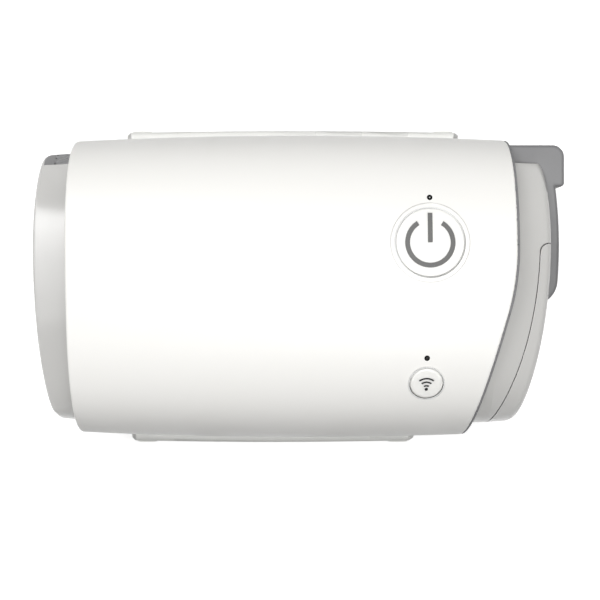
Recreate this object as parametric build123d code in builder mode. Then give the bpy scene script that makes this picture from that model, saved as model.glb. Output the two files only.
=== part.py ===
from build123d import *
import math
import os

# Travel CPAP machine lying on its back, face up. X runs from the filter end to the air outlet end,
# Y across the body, Z up through the face with the two buttons. All sizes are in millimetres. The
# origin is at the middle of the footprint, on the surface that the four foot pads stand on.

os.makedirs("parts", exist_ok=True)

# Body form: a barrel with an oval section, rounder towards the face than underneath
belly_height = 22.0  # level of the widest line
half_width = 38.9
crown_height = 30.0  # from the widest line up to the face
keel_depth = 17.0  # from the widest line down to the underside
crown_power = 2.7
keel_power = 4.0
bow_radius = 1120.0  # lengthwise bow of the barrel
form_reach = 72.0  # the forms run past the body's ends and are trimmed there
section_points = 28

# Clearances
seat_gap = 0.1  # between fixed pieces that locate each other
slide_gap = 0.35  # between a moving piece and its guide
running_gap = 0.02  # shaft in its bearings, on the radius

# Outer sleeve
sleeve_wall = 2.0
sleeve_left = 55.3  # left end from the middle, at the level of the feet
sleeve_right = 51.7  # straight part of the right end, at the level of the feet
sleeve_lean = 0.03  # both ends lean outwards going up
sleeve_left_skew = 0.0187
sleeve_right_skew = 0.285  # slant of the right end below the bend
sleeve_bend_y = 1.4
sleeve_bend_radius = 60.0
sleeve_edge_round = 0.5
sleeve_gap = 0.8  # air gap between the sleeve and the inner housing

# Inner housing and end caps
housing_wall = 1.8
left_reach = 67.7
left_end_radius = 200.0
left_end_crest = 12.0
right_reach = 63.3
right_end_radius = 136.0
right_end_crest = 13.0
left_shoulder = 54.0  # where the face starts to slope down to the filter end
right_shoulder = 48.0
left_slope = 1.0
right_slope = 0.55
end_round = 3.0
split_height = belly_height  # joint between the front and rear housing halves

# Filter cover, which pulls off the left end
cover_lap = 3.2  # length of the cover's skirt inside the sleeve
cover_gap = 0.4
grille_left = 65.6  # distances of the window's edges to the left of the middle
grille_right = 56.2
grille_line_y = 31.2  # straight edge of the window towards the face
grille_top = 31.0  # upper end of the row of slots
grille_bottom = 14.0
grille_slots = 7
slot_height = 1.2
slot_length = 3.6
filter_reach = 59.3  # left side of the pad from the middle
filter_thickness = 4.0
frame_thickness = 1.6
frame_bars = 3
bar_width = 1.2
window_width = 46.0
window_bottom = 13.0
window_top = 35.0
window_corner = 4.0
bulkhead_thickness = 1.8
inlet_width = 34.0
inlet_height = 14.0
inlet_z = 24.0
foam_length = 8.0
foam_width = 46.0
foam_height = 22.0
foam_passage = 12.0

# End panel on the right, parted from the housing by a fine curved seam
panel_top_y = 10.9
panel_seam_reach = 60.0
panel_seam_radius = 100.0
panel_corner = 2.4
seam_gap = 0.25
seam_depth = 1.1

# Air outlet collar with its hood
collar_low_y = -4.8
collar_high_y = 25.5
collar_bottom = 11.0
collar_top = 31.0
collar_inner_x = 57.5
collar_reach = 66.4
collar_bulge_radius = 120.0
collar_corner = 6.5
collar_edge = 0.8
hood_left = 53.3
hood_reach = 67.7
hood_high_y = 36.1
hood_corner = 3.0
hood_lip_round = 1.0
collar_wall = 2.2
roof_line_y = 31.3
outlet_y = 10.5
outlet_z = 23.0
port_bore = 14.0
port_wall = 0.9
port_depth = 11.0
spigot_length = 7.0
duct_bore = 12.0
duct_wall = 1.5
seal_width = 1.6
seal_depth = 0.5
seal_setback = 2.5

# Low voltage inlet in the end panel
dc_y = -16.0
dc_z = 21.0
dc_bore = 6.5
dc_pin = 2.1
dc_depth = 10.0
dc_body_width = 11.0
dc_body_height = 12.0
dc_rim = 1.4
pin_setback = 1.0
contact_length = 4.0
contact_width = 2.4
contact_thickness = 0.4

# Start button, round, in the face
start_x = 31.8
start_y = 10.7
start_hole = 17.3
start_dish = 19.4  # shallow dish in the sleeve round the button
dish_depth = 0.3
start_round = 0.3
start_travel = 0.6
button_depth = 5.0  # cap height below the face
stem_diameter = 4.4
symbol_diameter = 12.2
symbol_stroke = 1.15
symbol_gap_angle = 64.0
symbol_bar = 7.2
symbol_depth = 0.35

# Pairing button, round, on the slope of the face
pairing_x = 31.1
pairing_y = -23.8
pairing_hole = 8.9
pairing_round = 0.8
pairing_travel = 0.4
pairing_depth = 4.0
pairing_stem = 2.6
pairing_dot = 0.8
pairing_waves = 3
pairing_wave_step = 0.95
pairing_stroke = 0.4
pairing_wave_angle = 76.0

# Both buttons hang in wells of the front housing on two side tabs
button_gap = 0.3
well_wall = 1.0
well_floor = 1.4
tab_reach = 1.3
tab_width = 3.6
tab_height = 0.9
tab_below_sleeve = 0.5
floor_play = 0.5  # left under the cap at full travel

# Status lights
light_ring = 1.35
light_core = 0.7
power_light_y = 21.7
pairing_light_offset = 6.9  # from the pairing button along the face
lamp_size = 1.4
lamp_height = 0.6

# Circuit board
board_left = -40.0
board_right = 45.0
board_width = 48.0
board_thickness = 1.6
board_top = 38.4
board_corner = 2.0
board_window = 23.0  # opening over the blower inlet
board_post = 5.0
board_screw_x = (-36.0, 41.0)
board_screw_y = 20.0
switch_width = 6.0
switch_plunger = 2.6
switch_height = 2.2
plunger_height = 1.0
small_switch_width = 4.4
small_plunger = 1.8
plunger_play = 0.45
plunger_seat = 0.3  # the plunger starts this deep in its switch
switch_well = 1.4  # depth of the hole that the plunger sinks into
chip_place = (12.0, -13.0)
chip_width = 10.0
driver_place = (4.0, 14.0)
driver_width = 6.0
chip_height = 1.2
soft_edge = 0.3
wireless_place = (-29.0, 12.0)
wireless_length = 14.0
wireless_width = 9.0
wireless_height = 1.8
capacitor_place = (-33.0, -8.0)
capacitor_pitch = 7.0
capacitor_count = 3
capacitor_diameter = 5.0
capacitor_height = 3.6
connector_place = (40.0, -8.0)
connector_width = 5.0
connector_length = 12.0
connector_height = 4.0
connector_pitch = 2.0
connector_pins = 5
sensor_x = 28.0
sensor_width = 7.0
sensor_height = 2.0
nipple_diameter = 2.4
nipple_length = 1.2

# Blower
blower_x = -14.0
impeller_diameter = 36.0
impeller_plate = 1.2
impeller_hub = 6.0
blade_count = 11
blade_thickness = 0.9
blade_height = 8.2
blade_inner = 8.0
blade_sweep = 48.0
blade_bend = 0.38  # share of the sweep that is reached at mid radius
hub_share = 0.8  # height of the hub as a share of the blades'
hub_round = 0.8
volute_radius = 22.0
blower_wall = 1.5
volute_margin = 0.4  # room left round the duct where it meets the volute
plate_clearance = 0.9
blower_inlet = 17.0
stub_end = 19.0
blower_mount_radius = 18.5
blower_mount_diameter = 5.0
blower_mount_count = 4
motor_well_depth = 5.0
rotor_diameter = 22.0
rotor_wall = 1.2
rotor_clearance = 0.5
rotor_floor_gap = 0.7
stator_height = 2.2
stator_lift = 1.5
stator_arms = 6
arm_width = 1.8
stator_air_gap = 0.5
stator_hub_wall = 1.2
pole_tip = 1.2
pole_gap = 2.4
coil_wall = 0.6
coil_gap = 0.3
bearing_diameter = 6.0
bearing_height = 2.0
bearing_tube_wall = 1.0
bearing_tube_height = 4.3
shaft_diameter = 2.0
hose_wall = 1.5
hose_ribs = 7
hose_rib_height = 0.8
hose_rib_width = 2.0
hose_lap = 6.0

# Base plate with its side rails and foot pads
rail_reach = 41.7
rail_bow = 0.5
rail_top = 11.5
base_bottom = 1.6
rail_upper_left = -47.0
rail_upper_right = 43.6
rail_lower_left = -45.7
rail_lower_right = 31.4
rail_lean = 0.22  # the rails' ends lean inwards going up
rail_round = 1.4
base_bevel = 0.8  # round the underside of the base
foot_length = 6.2
foot_inset = 1.8
foot_depth = 7.5
foot_top = 8.5
foot_proud = 0.6
foot_round = 0.6
foot_corner = 1.2

# Screws
screw_diameter = 2.2
screw_head = 4.2
screw_head_height = 1.4
screw_socket = 1.8
post_diameter = 6.0
post_x = (-43.0, 37.0)
post_y = 27.5
base_screw_x = (-30.0, 20.0)
base_screw_y = 24.0
base_screw_length = 10.5
base_boss_height = 5.0
board_screw_length = 5.0
housing_screw_depth = 7.0  # into the front posts
housing_screw_seat = 6.0  # under the joint of the halves

top_reach = 60.0  # above everything, for cuts that run out through the face
side_reach = 46.0  # past both sides
overrun = 1.0  # how far a cut starts outside the surface that it opens
slope_step = 0.1  # distance over which the slope of the face is measured


def section(x, inset, drop=0.0):
    """Points round the body's section at x, set in by inset, its face lowered by drop."""
    bow = inset + x * x / (2 * bow_radius)
    points = []
    for k in range(section_points):
        turn = 2 * math.pi * k / section_points
        across, up = math.cos(turn), math.sin(turn)
        power = crown_power if up >= 0 else keel_power
        rise = crown_height - bow - drop if up >= 0 else keel_depth - bow
        y = (half_width - bow) * math.copysign(abs(across) ** (2 / power), across)
        z = belly_height + rise * math.copysign(abs(up) ** (2 / power), up)
        points.append((y, z))
    return points


def face_height(x, y, inset=0.0):
    """Height of the face above the feet at (x, y), set in by inset."""
    bow = inset + x * x / (2 * bow_radius)
    share = 1 - (abs(y) / (half_width - bow)) ** crown_power
    return belly_height + (crown_height - bow) * share ** (1 / crown_power)


def barrel(inset, stations, slope=0.0, ruled=False):
    """Lofted stretch of the body form; its face slopes down from the first station."""
    with BuildPart() as stretch:
        for x in stations:
            with BuildSketch(Plane.YZ.offset(x)):
                with BuildLine():
                    Spline(*section(x, inset, slope * abs(x - stations[0])), periodic=True)
                make_face()
        loft(ruled=ruled)
    return stretch.part


def bowed_end(reach, radius, crest, side):
    """Three points of an end's bowed outline in plan."""
    points = []
    for y in (-side_reach, crest, side_reach):
        points.append((side * (reach - radius + math.sqrt(radius**2 - (y - crest) ** 2)), y))
    return points


def housing_end(inset, side):
    """One sloped end of the inner housing's form, trimmed to its bowed outline and rounded."""
    shell = inset - sleeve_wall - sleeve_gap
    if side < 0:
        outline = bowed_end(left_reach - shell, left_end_radius, left_end_crest, side)
        shoulder, slope = left_shoulder, left_slope
    else:
        outline = bowed_end(right_reach - shell, right_end_radius, right_end_crest, side)
        shoulder, slope = right_shoulder, right_slope
    with BuildPart() as end:
        add(barrel(inset, (side * shoulder, side * form_reach), slope, True))
        with BuildSketch(Plane.XY):
            with BuildLine():
                ThreePointArc(*outline)
                Polyline(outline[2], (0, side_reach), (0, -side_reach), outline[0])
            make_face()
        extrude(amount=top_reach, mode=Mode.INTERSECT)
        tip = end.faces().sort_by(Axis.X)[0 if side < 0 else -1]
        fillet(tip.edges(), end_round - shell)
    return end.part


def housing_form(inset):
    """Form of the inner housing, set in by inset from the body form."""
    with BuildPart() as form:
        add(barrel(inset, (-left_shoulder, 0, right_shoulder)))
        add(housing_end(inset, -1))
        add(housing_end(inset, 1))
    return form.part


body_form = barrel(0, (-form_reach, -form_reach / 2, 0, form_reach / 2, form_reach))
sleeve_bore = barrel(sleeve_wall, (-form_reach, -form_reach / 2, 0, form_reach / 2, form_reach))
shell_inset = sleeve_wall + sleeve_gap  # from the body form in to the housing
floor_inset = shell_inset + housing_wall
housing_outside = housing_form(shell_inset)
housing_inside = housing_form(floor_inset)

face_z = face_height(start_x, start_y)
start_plane = Plane((start_x, start_y, face_z))
pairing_z = face_height(pairing_x, pairing_y)
pairing_rise = face_height(pairing_x, pairing_y + slope_step) - pairing_z
pairing_tilt = math.atan(pairing_rise / slope_step)
pairing_normal = (0, -math.sin(pairing_tilt), math.cos(pairing_tilt))
pairing_plane = Plane((pairing_x, pairing_y, pairing_z), x_dir=(1, 0, 0), z_dir=pairing_normal)
cover_joint = -(sleeve_left - cover_lap)  # inner edge of the filter cover
housing_left = cover_joint + cover_gap
deep = 2 * top_reach
base_screw_places = [(x, y) for x in base_screw_x for y in (-base_screw_y, base_screw_y)]

# Where the light guides stand in the face
power_light_plane = Plane((start_x, power_light_y, face_height(start_x, power_light_y)))
light_place = pairing_plane.from_local_coords(Vector(0, pairing_light_offset, 0))
pairing_light_plane = Plane(
    (pairing_x, light_place.Y, face_height(pairing_x, light_place.Y)),
    x_dir=(1, 0, 0),
    z_dir=pairing_normal,
)
light_planes = (power_light_plane, pairing_light_plane)


# Dish round the start button: its floor runs parallel to the face
with BuildPart() as dish_cut:
    with BuildSketch(start_plane.offset(overrun)):
        Circle(start_dish / 2)
    extrude(amount=-sleeve_wall - overrun)
    add(barrel(dish_depth, (0, form_reach / 2, form_reach)), mode=Mode.SUBTRACT)

# Outer sleeve: one moulded tube, its two ends trimmed and the button holes cut
with BuildPart() as outer_sleeve:
    add(body_form)
    add(sleeve_bore, mode=Mode.SUBTRACT)
    with BuildSketch(Plane.XY):
        with BuildLine():
            Polyline(
                (-sleeve_left - sleeve_left_skew * side_reach, side_reach),
                (-sleeve_left + sleeve_left_skew * side_reach, -side_reach),
                (form_reach + side_reach, -side_reach),
                (form_reach + side_reach, side_reach),
                close=True,
            )
        make_face()
    extrude(amount=top_reach, dir=(-sleeve_lean, 0, 1), mode=Mode.INTERSECT)
    with BuildSketch(Plane.XY):
        with BuildLine():
            FilletPolyline(
                (sleeve_right - sleeve_right_skew * (side_reach + sleeve_bend_y), -side_reach),
                (sleeve_right, sleeve_bend_y),
                (sleeve_right, side_reach),
                radius=sleeve_bend_radius,
            )
            Polyline(
                (sleeve_right, side_reach),
                (-form_reach - side_reach, side_reach),
                (-form_reach - side_reach, -side_reach),
                (sleeve_right - sleeve_right_skew * (side_reach + sleeve_bend_y), -side_reach),
            )
        make_face()
    extrude(amount=top_reach, dir=(sleeve_lean, 0, 1), mode=Mode.INTERSECT)
    for end in (outer_sleeve.faces().sort_by(Axis.X)[0], outer_sleeve.faces().sort_by(Axis.X)[-1]):
        fillet(end.outer_wire().edges(), sleeve_edge_round)
    add(dish_cut.part, mode=Mode.SUBTRACT)
    with BuildSketch(start_plane.offset(overrun)):
        Circle(start_hole / 2)
    extrude(amount=-button_depth - overrun, mode=Mode.SUBTRACT)
    with BuildSketch(pairing_plane.offset(overrun)):
        Circle(pairing_hole / 2)
    extrude(amount=-button_depth - overrun, mode=Mode.SUBTRACT)
    for plane in light_planes:
        with BuildSketch(plane.offset(overrun)):
            Circle(light_ring / 2)
        extrude(amount=-button_depth - overrun, mode=Mode.SUBTRACT)
    with BuildSketch(Plane.XY):
        with Locations(*base_screw_places):
            Circle(screw_diameter / 2 + seat_gap)
    extrude(amount=belly_height, mode=Mode.SUBTRACT)
outer_sleeve.part.label = "outer_sleeve"
export_step(outer_sleeve.part, "parts/outer_sleeve.step")


# Air outlet collar: the block that it is cut from also cuts its seat in the housing
def collar_front(y):
    """Reach of the collar's bulging front at y."""
    return collar_reach - collar_bulge_radius + math.sqrt(
        collar_bulge_radius**2 - (y - outlet_y) ** 2
    )


with BuildPart() as collar_block:
    with BuildSketch(Plane.XY.offset(collar_bottom)) as collar_outline:
        with BuildLine():
            ThreePointArc(
                (collar_front(collar_low_y), collar_low_y),
                (collar_reach, outlet_y),
                (collar_front(collar_high_y), collar_high_y),
            )
            Polyline(
                (collar_front(collar_high_y), collar_high_y),
                (hood_reach, collar_high_y),
                (hood_reach, hood_high_y),
                (hood_left, hood_high_y),
                (hood_left, collar_high_y),
                (collar_inner_x, collar_high_y),
                (collar_inner_x, collar_low_y),
                (collar_front(collar_low_y), collar_low_y),
            )
        make_face()
        corners = collar_outline.vertices()
        fillet(corners.sort_by_distance((collar_front(collar_low_y), collar_low_y))[0], collar_corner)
        corners = collar_outline.vertices()
        fillet(corners.sort_by_distance((hood_reach, hood_high_y))[0], hood_corner)
        corners = collar_outline.vertices()
        fillet(corners.sort_by_distance((hood_reach, collar_high_y))[0], hood_lip_round)
    extrude(amount=collar_top - collar_bottom)
    for level in (collar_block.faces().sort_by(Axis.Z)[-1], collar_block.faces().sort_by(Axis.Z)[0]):
        outer = ShapeList(
            edge
            for edge in level.edges()
            if edge.center().X > collar_inner_x + seat_gap or edge.center().Y > hood_high_y - seat_gap
        )
        fillet(outer, collar_edge)

# Upright block above the hood, where the housing's roof stops short of it
with BuildPart() as roof_cut:
    with BuildSketch(Plane.XY.offset(collar_bottom)):
        with Locations((hood_left, roof_line_y)):
            Rectangle(form_reach, side_reach, align=(Align.MIN, Align.MIN))
    extrude(amount=top_reach)

boss_back = collar_reach - port_depth - duct_wall
with BuildPart() as outlet_collar:
    add(collar_block.part)
    with BuildSketch(Plane.XY.offset(collar_bottom + collar_wall)):
        with BuildLine():
            Polyline(
                (collar_inner_x - overrun, collar_low_y + collar_wall),
                (collar_front(collar_low_y) - collar_corner, collar_low_y + collar_wall),
                (collar_reach - collar_corner + collar_wall, collar_low_y + collar_corner),
                (collar_front(collar_high_y) - collar_wall, hood_high_y - collar_wall),
                (collar_inner_x - overrun, hood_high_y - collar_wall),
                close=True,
            )
        make_face()
    extrude(amount=collar_top - collar_bottom - 2 * collar_wall, mode=Mode.SUBTRACT)
    with BuildSketch(Plane.YZ.offset(boss_back)):
        with Locations((outlet_y, outlet_z)):
            Circle(port_bore / 2 + port_wall)
    extrude(amount=port_depth)
    with BuildSketch(Plane.YZ.offset(boss_back - spigot_length)):
        with Locations((outlet_y, outlet_z)):
            Circle(duct_bore / 2 + duct_wall)
    extrude(amount=spigot_length)
    with BuildSketch(Plane.YZ.offset(boss_back - spigot_length)):
        with Locations((outlet_y, outlet_z)):
            Circle(duct_bore / 2)
    extrude(amount=deep, mode=Mode.SUBTRACT)
    with BuildSketch(Plane.YZ.offset(collar_reach - port_depth)):
        with Locations((outlet_y, outlet_z)):
            Circle(port_bore / 2)
    extrude(amount=deep, mode=Mode.SUBTRACT)
    with BuildSketch(Plane.YZ.offset(collar_reach - seal_setback)):
        with Locations((outlet_y, outlet_z)):
            Circle(port_bore / 2 + seal_depth)
    extrude(amount=-seal_width, mode=Mode.SUBTRACT)
outlet_collar.part.label = "outlet_collar"
export_step(outlet_collar.part, "parts/outlet_collar.step")

# Seal: a silicone ring in a groove of the outlet, flush with the bore
with BuildPart() as outlet_seal:
    with BuildSketch(Plane.YZ.offset(collar_reach - seal_setback)):
        with Locations((outlet_y, outlet_z)):
            Circle(port_bore / 2 + seal_depth)
            Circle(port_bore / 2, mode=Mode.SUBTRACT)
    extrude(amount=-seal_width)
outlet_seal.part.label = "outlet_seal"
export_step(outlet_seal.part, "parts/outlet_seal.step")


# Inner housing shell, which the seams part into the cover, the two halves and the end panel
with BuildPart() as housing_shell:
    add(housing_outside)
    add(housing_inside, mode=Mode.SUBTRACT)

housing_barrel = barrel(shell_inset, (-left_shoulder, 0, right_shoulder))


def posts(places, diameter, low, high):
    """Upright round posts between two levels, trimmed to the housing's outer form."""
    with BuildPart() as group:
        with BuildSketch(Plane.XY.offset(low)):
            with Locations(*places):
                Circle(diameter / 2)
        extrude(amount=high - low)
        add(housing_barrel, mode=Mode.INTERSECT)
    return group.part


def middle_of(seam, top_y):
    """Point of the seam halfway between its low end and top_y."""
    y = (top_y - side_reach) / 2
    centre_x = seam[1][0] - panel_seam_radius
    return (centre_x + math.sqrt(panel_seam_radius**2 - (y - right_end_crest) ** 2), y)


def panel_region(setback):
    """Upright block that the end panel is cut with, its seam set back."""
    seam = bowed_end(panel_seam_reach + setback, panel_seam_radius, right_end_crest, 1)
    radius = panel_seam_radius
    top_y = panel_top_y - setback
    top_x = panel_seam_reach + setback - radius
    top_x += math.sqrt(radius**2 - (top_y - right_end_crest) ** 2)
    with BuildPart() as region:
        with BuildSketch(Plane.XY) as outline:
            with BuildLine():
                ThreePointArc(seam[0], middle_of(seam, top_y), (top_x, top_y))
                Polyline((top_x, top_y), (form_reach, top_y), (form_reach, -side_reach), seam[0])
            make_face()
            fillet(outline.vertices().sort_by_distance((top_x, top_y))[0], panel_corner)
        extrude(amount=top_reach)
    return region.part


# Rooms cut from the housing: wells and guides of both buttons, light guides, screws
start_floor = face_z - button_depth - start_travel - floor_play
start_tab_top = face_height(start_x, start_y + tab_width / 2, sleeve_wall) - tab_below_sleeve
start_cap = start_hole / 2 - button_gap
pairing_cap = pairing_hole / 2 - button_gap
pairing_floor = pairing_depth + pairing_travel + floor_play
pairing_tab_top = sleeve_wall + tab_below_sleeve
slot_width = tab_width + 2 * slide_gap
plunger_top = board_top + switch_height + plunger_height
pairing_drop = (pairing_z - plunger_top) / math.cos(pairing_tilt)
pairing_switch_y = pairing_y + pairing_drop * math.sin(pairing_tilt)
post_places = [(x, y) for x in post_x for y in (-post_y, post_y)]
board_screw_places = [(x, y) for x in board_screw_x for y in (-board_screw_y, board_screw_y)]

with BuildPart() as wells:
    with BuildSketch(Plane((start_x, start_y, start_floor - well_floor))):
        Circle(start_hole / 2 + well_wall)
    extrude(amount=button_depth + start_travel + floor_play + well_floor)
    with BuildSketch(pairing_plane.offset(-pairing_floor - well_floor)):
        Circle(pairing_hole / 2 + well_wall)
    extrude(amount=pairing_floor + well_floor)
    add(housing_barrel, mode=Mode.INTERSECT)

with BuildPart() as well_cuts:
    with BuildSketch(Plane((start_x, start_y, start_floor))):
        Circle(start_hole / 2)
    extrude(amount=top_reach - start_floor)
    with BuildSketch(pairing_plane.offset(-pairing_floor)):
        Circle(pairing_hole / 2)
    extrude(amount=2 * pairing_floor)
    with BuildSketch(Plane((start_x, start_y, start_tab_top - tab_height - start_travel - slide_gap))):
        Rectangle(2 * (start_cap + tab_reach + slide_gap), slot_width)
    extrude(amount=top_reach)
    with BuildSketch(pairing_plane.offset(-pairing_tab_top - tab_height - pairing_travel - slide_gap)):
        Rectangle(2 * (pairing_cap + tab_reach + slide_gap), slot_width)
    extrude(amount=2 * pairing_floor)
    with BuildSketch(Plane((start_x, start_y, start_floor + overrun))):
        Circle(stem_diameter / 2 + slide_gap)
    extrude(amount=-well_floor - 2 * overrun)
    with BuildSketch(pairing_plane.offset(-pairing_floor + overrun)):
        Circle(pairing_stem / 2 + slide_gap)
    extrude(amount=-well_floor - 2 * overrun)
    for plane in light_planes:
        with BuildSketch(plane.offset(overrun)):
            Circle(light_core / 2 + seat_gap)
        extrude(amount=-(face_z - board_top))

# Both halves of the housing: the shell with its bulkhead, less the end panel's and collar's places
with BuildPart() as housing_halves:
    add(housing_shell.part)
    with BuildSketch(Plane.YZ.offset(housing_left)):
        with BuildLine():
            Spline(*section(housing_left, shell_inset + housing_wall / 2), periodic=True)
        make_face()
    extrude(amount=bulkhead_thickness)
    with BuildSketch(Plane.YZ.offset(housing_left - overrun)):
        with Locations((0, inlet_z)):
            RectangleRounded(inlet_width, inlet_height, window_corner)
    extrude(amount=bulkhead_thickness + 2 * overrun, mode=Mode.SUBTRACT)
    add(collar_block.part, mode=Mode.SUBTRACT)
    add(roof_cut.part, mode=Mode.SUBTRACT)
    add(panel_region(0), mode=Mode.SUBTRACT)

# Front housing: face half of the inner shell, with the button wells and the board posts
with BuildPart() as front_housing:
    add(housing_halves.part)
    with BuildSketch(Plane.XY.offset(split_height)):
        with Locations((housing_left, 0)):
            Rectangle(deep, deep, align=(Align.MIN, Align.CENTER))
    extrude(amount=top_reach, mode=Mode.INTERSECT)
    add(wells.part)
    add(posts(post_places, post_diameter, split_height, top_reach))
    add(posts(board_screw_places, board_post, board_top, top_reach))
    add(well_cuts.part, mode=Mode.SUBTRACT)
    with BuildSketch(Plane.XY.offset(split_height)):
        with Locations(*post_places):
            Circle(screw_diameter / 2)
    extrude(amount=housing_screw_depth, mode=Mode.SUBTRACT)
    with BuildSketch(Plane.XY.offset(board_top)):
        with Locations(*board_screw_places):
            Circle(screw_diameter / 2)
    extrude(amount=board_screw_length - board_thickness, mode=Mode.SUBTRACT)
front_housing.part.label = "front_housing"
export_step(front_housing.part, "parts/front_housing.step")

# Rear housing: back half of the inner shell, with screw posts and bosses for the base
with BuildPart() as rear_housing:
    add(housing_halves.part)
    with BuildSketch(Plane.XY.offset(split_height)):
        with Locations((housing_left, 0)):
            Rectangle(deep, deep, align=(Align.MIN, Align.CENTER))
    extrude(amount=-split_height, mode=Mode.INTERSECT)
    add(posts(post_places, post_diameter, 0, split_height))
    floor_level = belly_height - keel_depth + floor_inset
    add(posts(base_screw_places, post_diameter, 0, floor_level + base_boss_height))
    with BuildSketch(Plane.XY.offset(split_height)):
        with Locations(*post_places):
            Circle(screw_diameter / 2)
    extrude(amount=-split_height, mode=Mode.SUBTRACT)
    with BuildSketch(Plane.XY.offset(split_height - housing_screw_seat)):
        with Locations(*post_places):
            Circle(screw_head / 2 + seat_gap)
    extrude(amount=-split_height, mode=Mode.SUBTRACT)
    with BuildSketch(Plane.XY):
        with Locations(*base_screw_places):
            Circle(screw_diameter / 2)
    extrude(amount=base_bottom + screw_head_height + base_screw_length, mode=Mode.SUBTRACT)
rear_housing.part.label = "rear_housing"
export_step(rear_housing.part, "parts/rear_housing.step")

# End panel: closes the right end below the outlet and carries the low voltage inlet
dc_face = right_reach - right_end_radius + math.sqrt(
    right_end_radius**2 - (dc_y - dc_bore / 2 - dc_rim - right_end_crest) ** 2
)
with BuildPart() as panel_skin:
    add(housing_outside)
    add(panel_region(seam_gap), mode=Mode.INTERSECT)

with BuildPart() as end_panel:
    add(housing_form(shell_inset + seam_depth))
    add(panel_region(0), mode=Mode.INTERSECT)
    add(panel_skin.part)
    add(housing_inside, mode=Mode.SUBTRACT)
    add(collar_block.part, mode=Mode.SUBTRACT)
    with BuildSketch(Plane.YZ.offset(dc_face - dc_depth)):
        with Locations((dc_y, dc_z)):
            Circle(dc_bore / 2 + dc_rim)
    extrude(amount=deep, mode=Mode.SUBTRACT)
end_panel.part.label = "end_panel"
export_step(end_panel.part, "parts/end_panel.step")

# Low voltage inlet: moulded socket with a round mouth, a centre pin and two solder contacts
dc_back = dc_face - dc_depth
dc_shoulder = right_reach - right_end_radius + math.sqrt(
    right_end_radius**2 - (dc_y - dc_body_width / 2 - right_end_crest) ** 2
) - housing_wall - end_round
with BuildPart() as dc_inlet:
    with BuildSketch(Plane.YZ.offset(dc_back - dc_rim)):
        with Locations((dc_y, dc_z)):
            RectangleRounded(dc_body_width, dc_body_height, dc_rim)
    extrude(amount=dc_shoulder - dc_back + dc_rim)
    with BuildSketch(Plane.YZ.offset(dc_back)):
        with Locations((dc_y, dc_z)):
            Circle(dc_bore / 2 + dc_rim)
    extrude(amount=dc_depth)
    with BuildSketch(Plane.YZ.offset(dc_back)):
        with Locations((dc_y, dc_z)):
            Circle(dc_bore / 2)
    extrude(amount=deep, mode=Mode.SUBTRACT)
    with BuildSketch(Plane.YZ.offset(dc_back - dc_rim)):
        with Locations((dc_y, dc_z)):
            Circle(dc_pin / 2)
        with Locations((dc_y, dc_z - dc_body_height / 4), (dc_y, dc_z + dc_body_height / 4)):
            Rectangle(contact_width, contact_thickness)
    extrude(amount=dc_rim, mode=Mode.SUBTRACT)
dc_inlet.part.label = "dc_inlet"
export_step(dc_inlet.part, "parts/dc_inlet.step")

with BuildPart() as dc_centre_pin:
    with BuildSketch(Plane.YZ.offset(dc_back - dc_rim)):
        with Locations((dc_y, dc_z)):
            Circle(dc_pin / 2)
    extrude(amount=dc_rim + dc_depth - pin_setback)
    fillet(dc_centre_pin.faces().sort_by(Axis.X)[-1].edges(), dc_pin / 4)
dc_centre_pin.part.label = "dc_centre_pin"
export_step(dc_centre_pin.part, "parts/dc_centre_pin.step")

with BuildPart() as dc_contacts:
    with BuildSketch(Plane.YZ.offset(dc_back - dc_rim - contact_length)):
        with Locations((dc_y, dc_z - dc_body_height / 4), (dc_y, dc_z + dc_body_height / 4)):
            Rectangle(contact_width, contact_thickness)
    extrude(amount=contact_length + dc_rim)
dc_contacts.part.label = "dc_contacts"
export_step(dc_contacts.part, "parts/dc_contacts.step")

# Filter cover: the light grey cap that pulls off the left end, with a window for the grille
with BuildPart() as grille_window:
    with BuildSketch(Plane.XY.offset(grille_bottom)):
        with Locations((-grille_left, grille_line_y)):
            Rectangle(grille_left - grille_right, side_reach, align=(Align.MIN, Align.MIN))
    extrude(amount=top_reach)

with BuildPart() as filter_cover:
    add(housing_shell.part)
    with BuildSketch(Plane.XY):
        with Locations((cover_joint, 0)):
            Rectangle(deep, deep, align=(Align.MAX, Align.CENTER))
    extrude(amount=top_reach, mode=Mode.INTERSECT)
    add(grille_window.part, mode=Mode.SUBTRACT)
filter_cover.part.label = "filter_cover"
export_step(filter_cover.part, "parts/filter_cover.step")

# Inlet grille: dark insert that fills the window, with a ladder of air slots
with BuildPart() as inlet_grille:
    add(housing_shell.part)
    add(grille_window.part, mode=Mode.INTERSECT)
    slot_pitch = (grille_top - grille_bottom) / (grille_slots + 1)
    with BuildSketch(Plane.XZ.offset(-grille_line_y + overrun)):
        with Locations((-(grille_left + grille_right) / 2, (grille_top + grille_bottom) / 2)):
            with GridLocations(0, slot_pitch, 1, grille_slots):
                RectangleRounded(slot_length, slot_height, slot_height / 2 - seat_gap)
    extrude(amount=-side_reach, mode=Mode.SUBTRACT)
inlet_grille.part.label = "inlet_grille"
export_step(inlet_grille.part, "parts/inlet_grille.step")

# Filter pad and the frame that keeps it in the cover
filter_left = -filter_reach
with BuildPart() as filter_pad:
    add(housing_inside)
    with BuildSketch(Plane.XY):
        with Locations((filter_left, 0)):
            Rectangle(filter_thickness, deep, align=(Align.MIN, Align.CENTER))
    extrude(amount=top_reach, mode=Mode.INTERSECT)
filter_pad.part.label = "filter_pad"
export_step(filter_pad.part, "parts/filter_pad.step")

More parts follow.
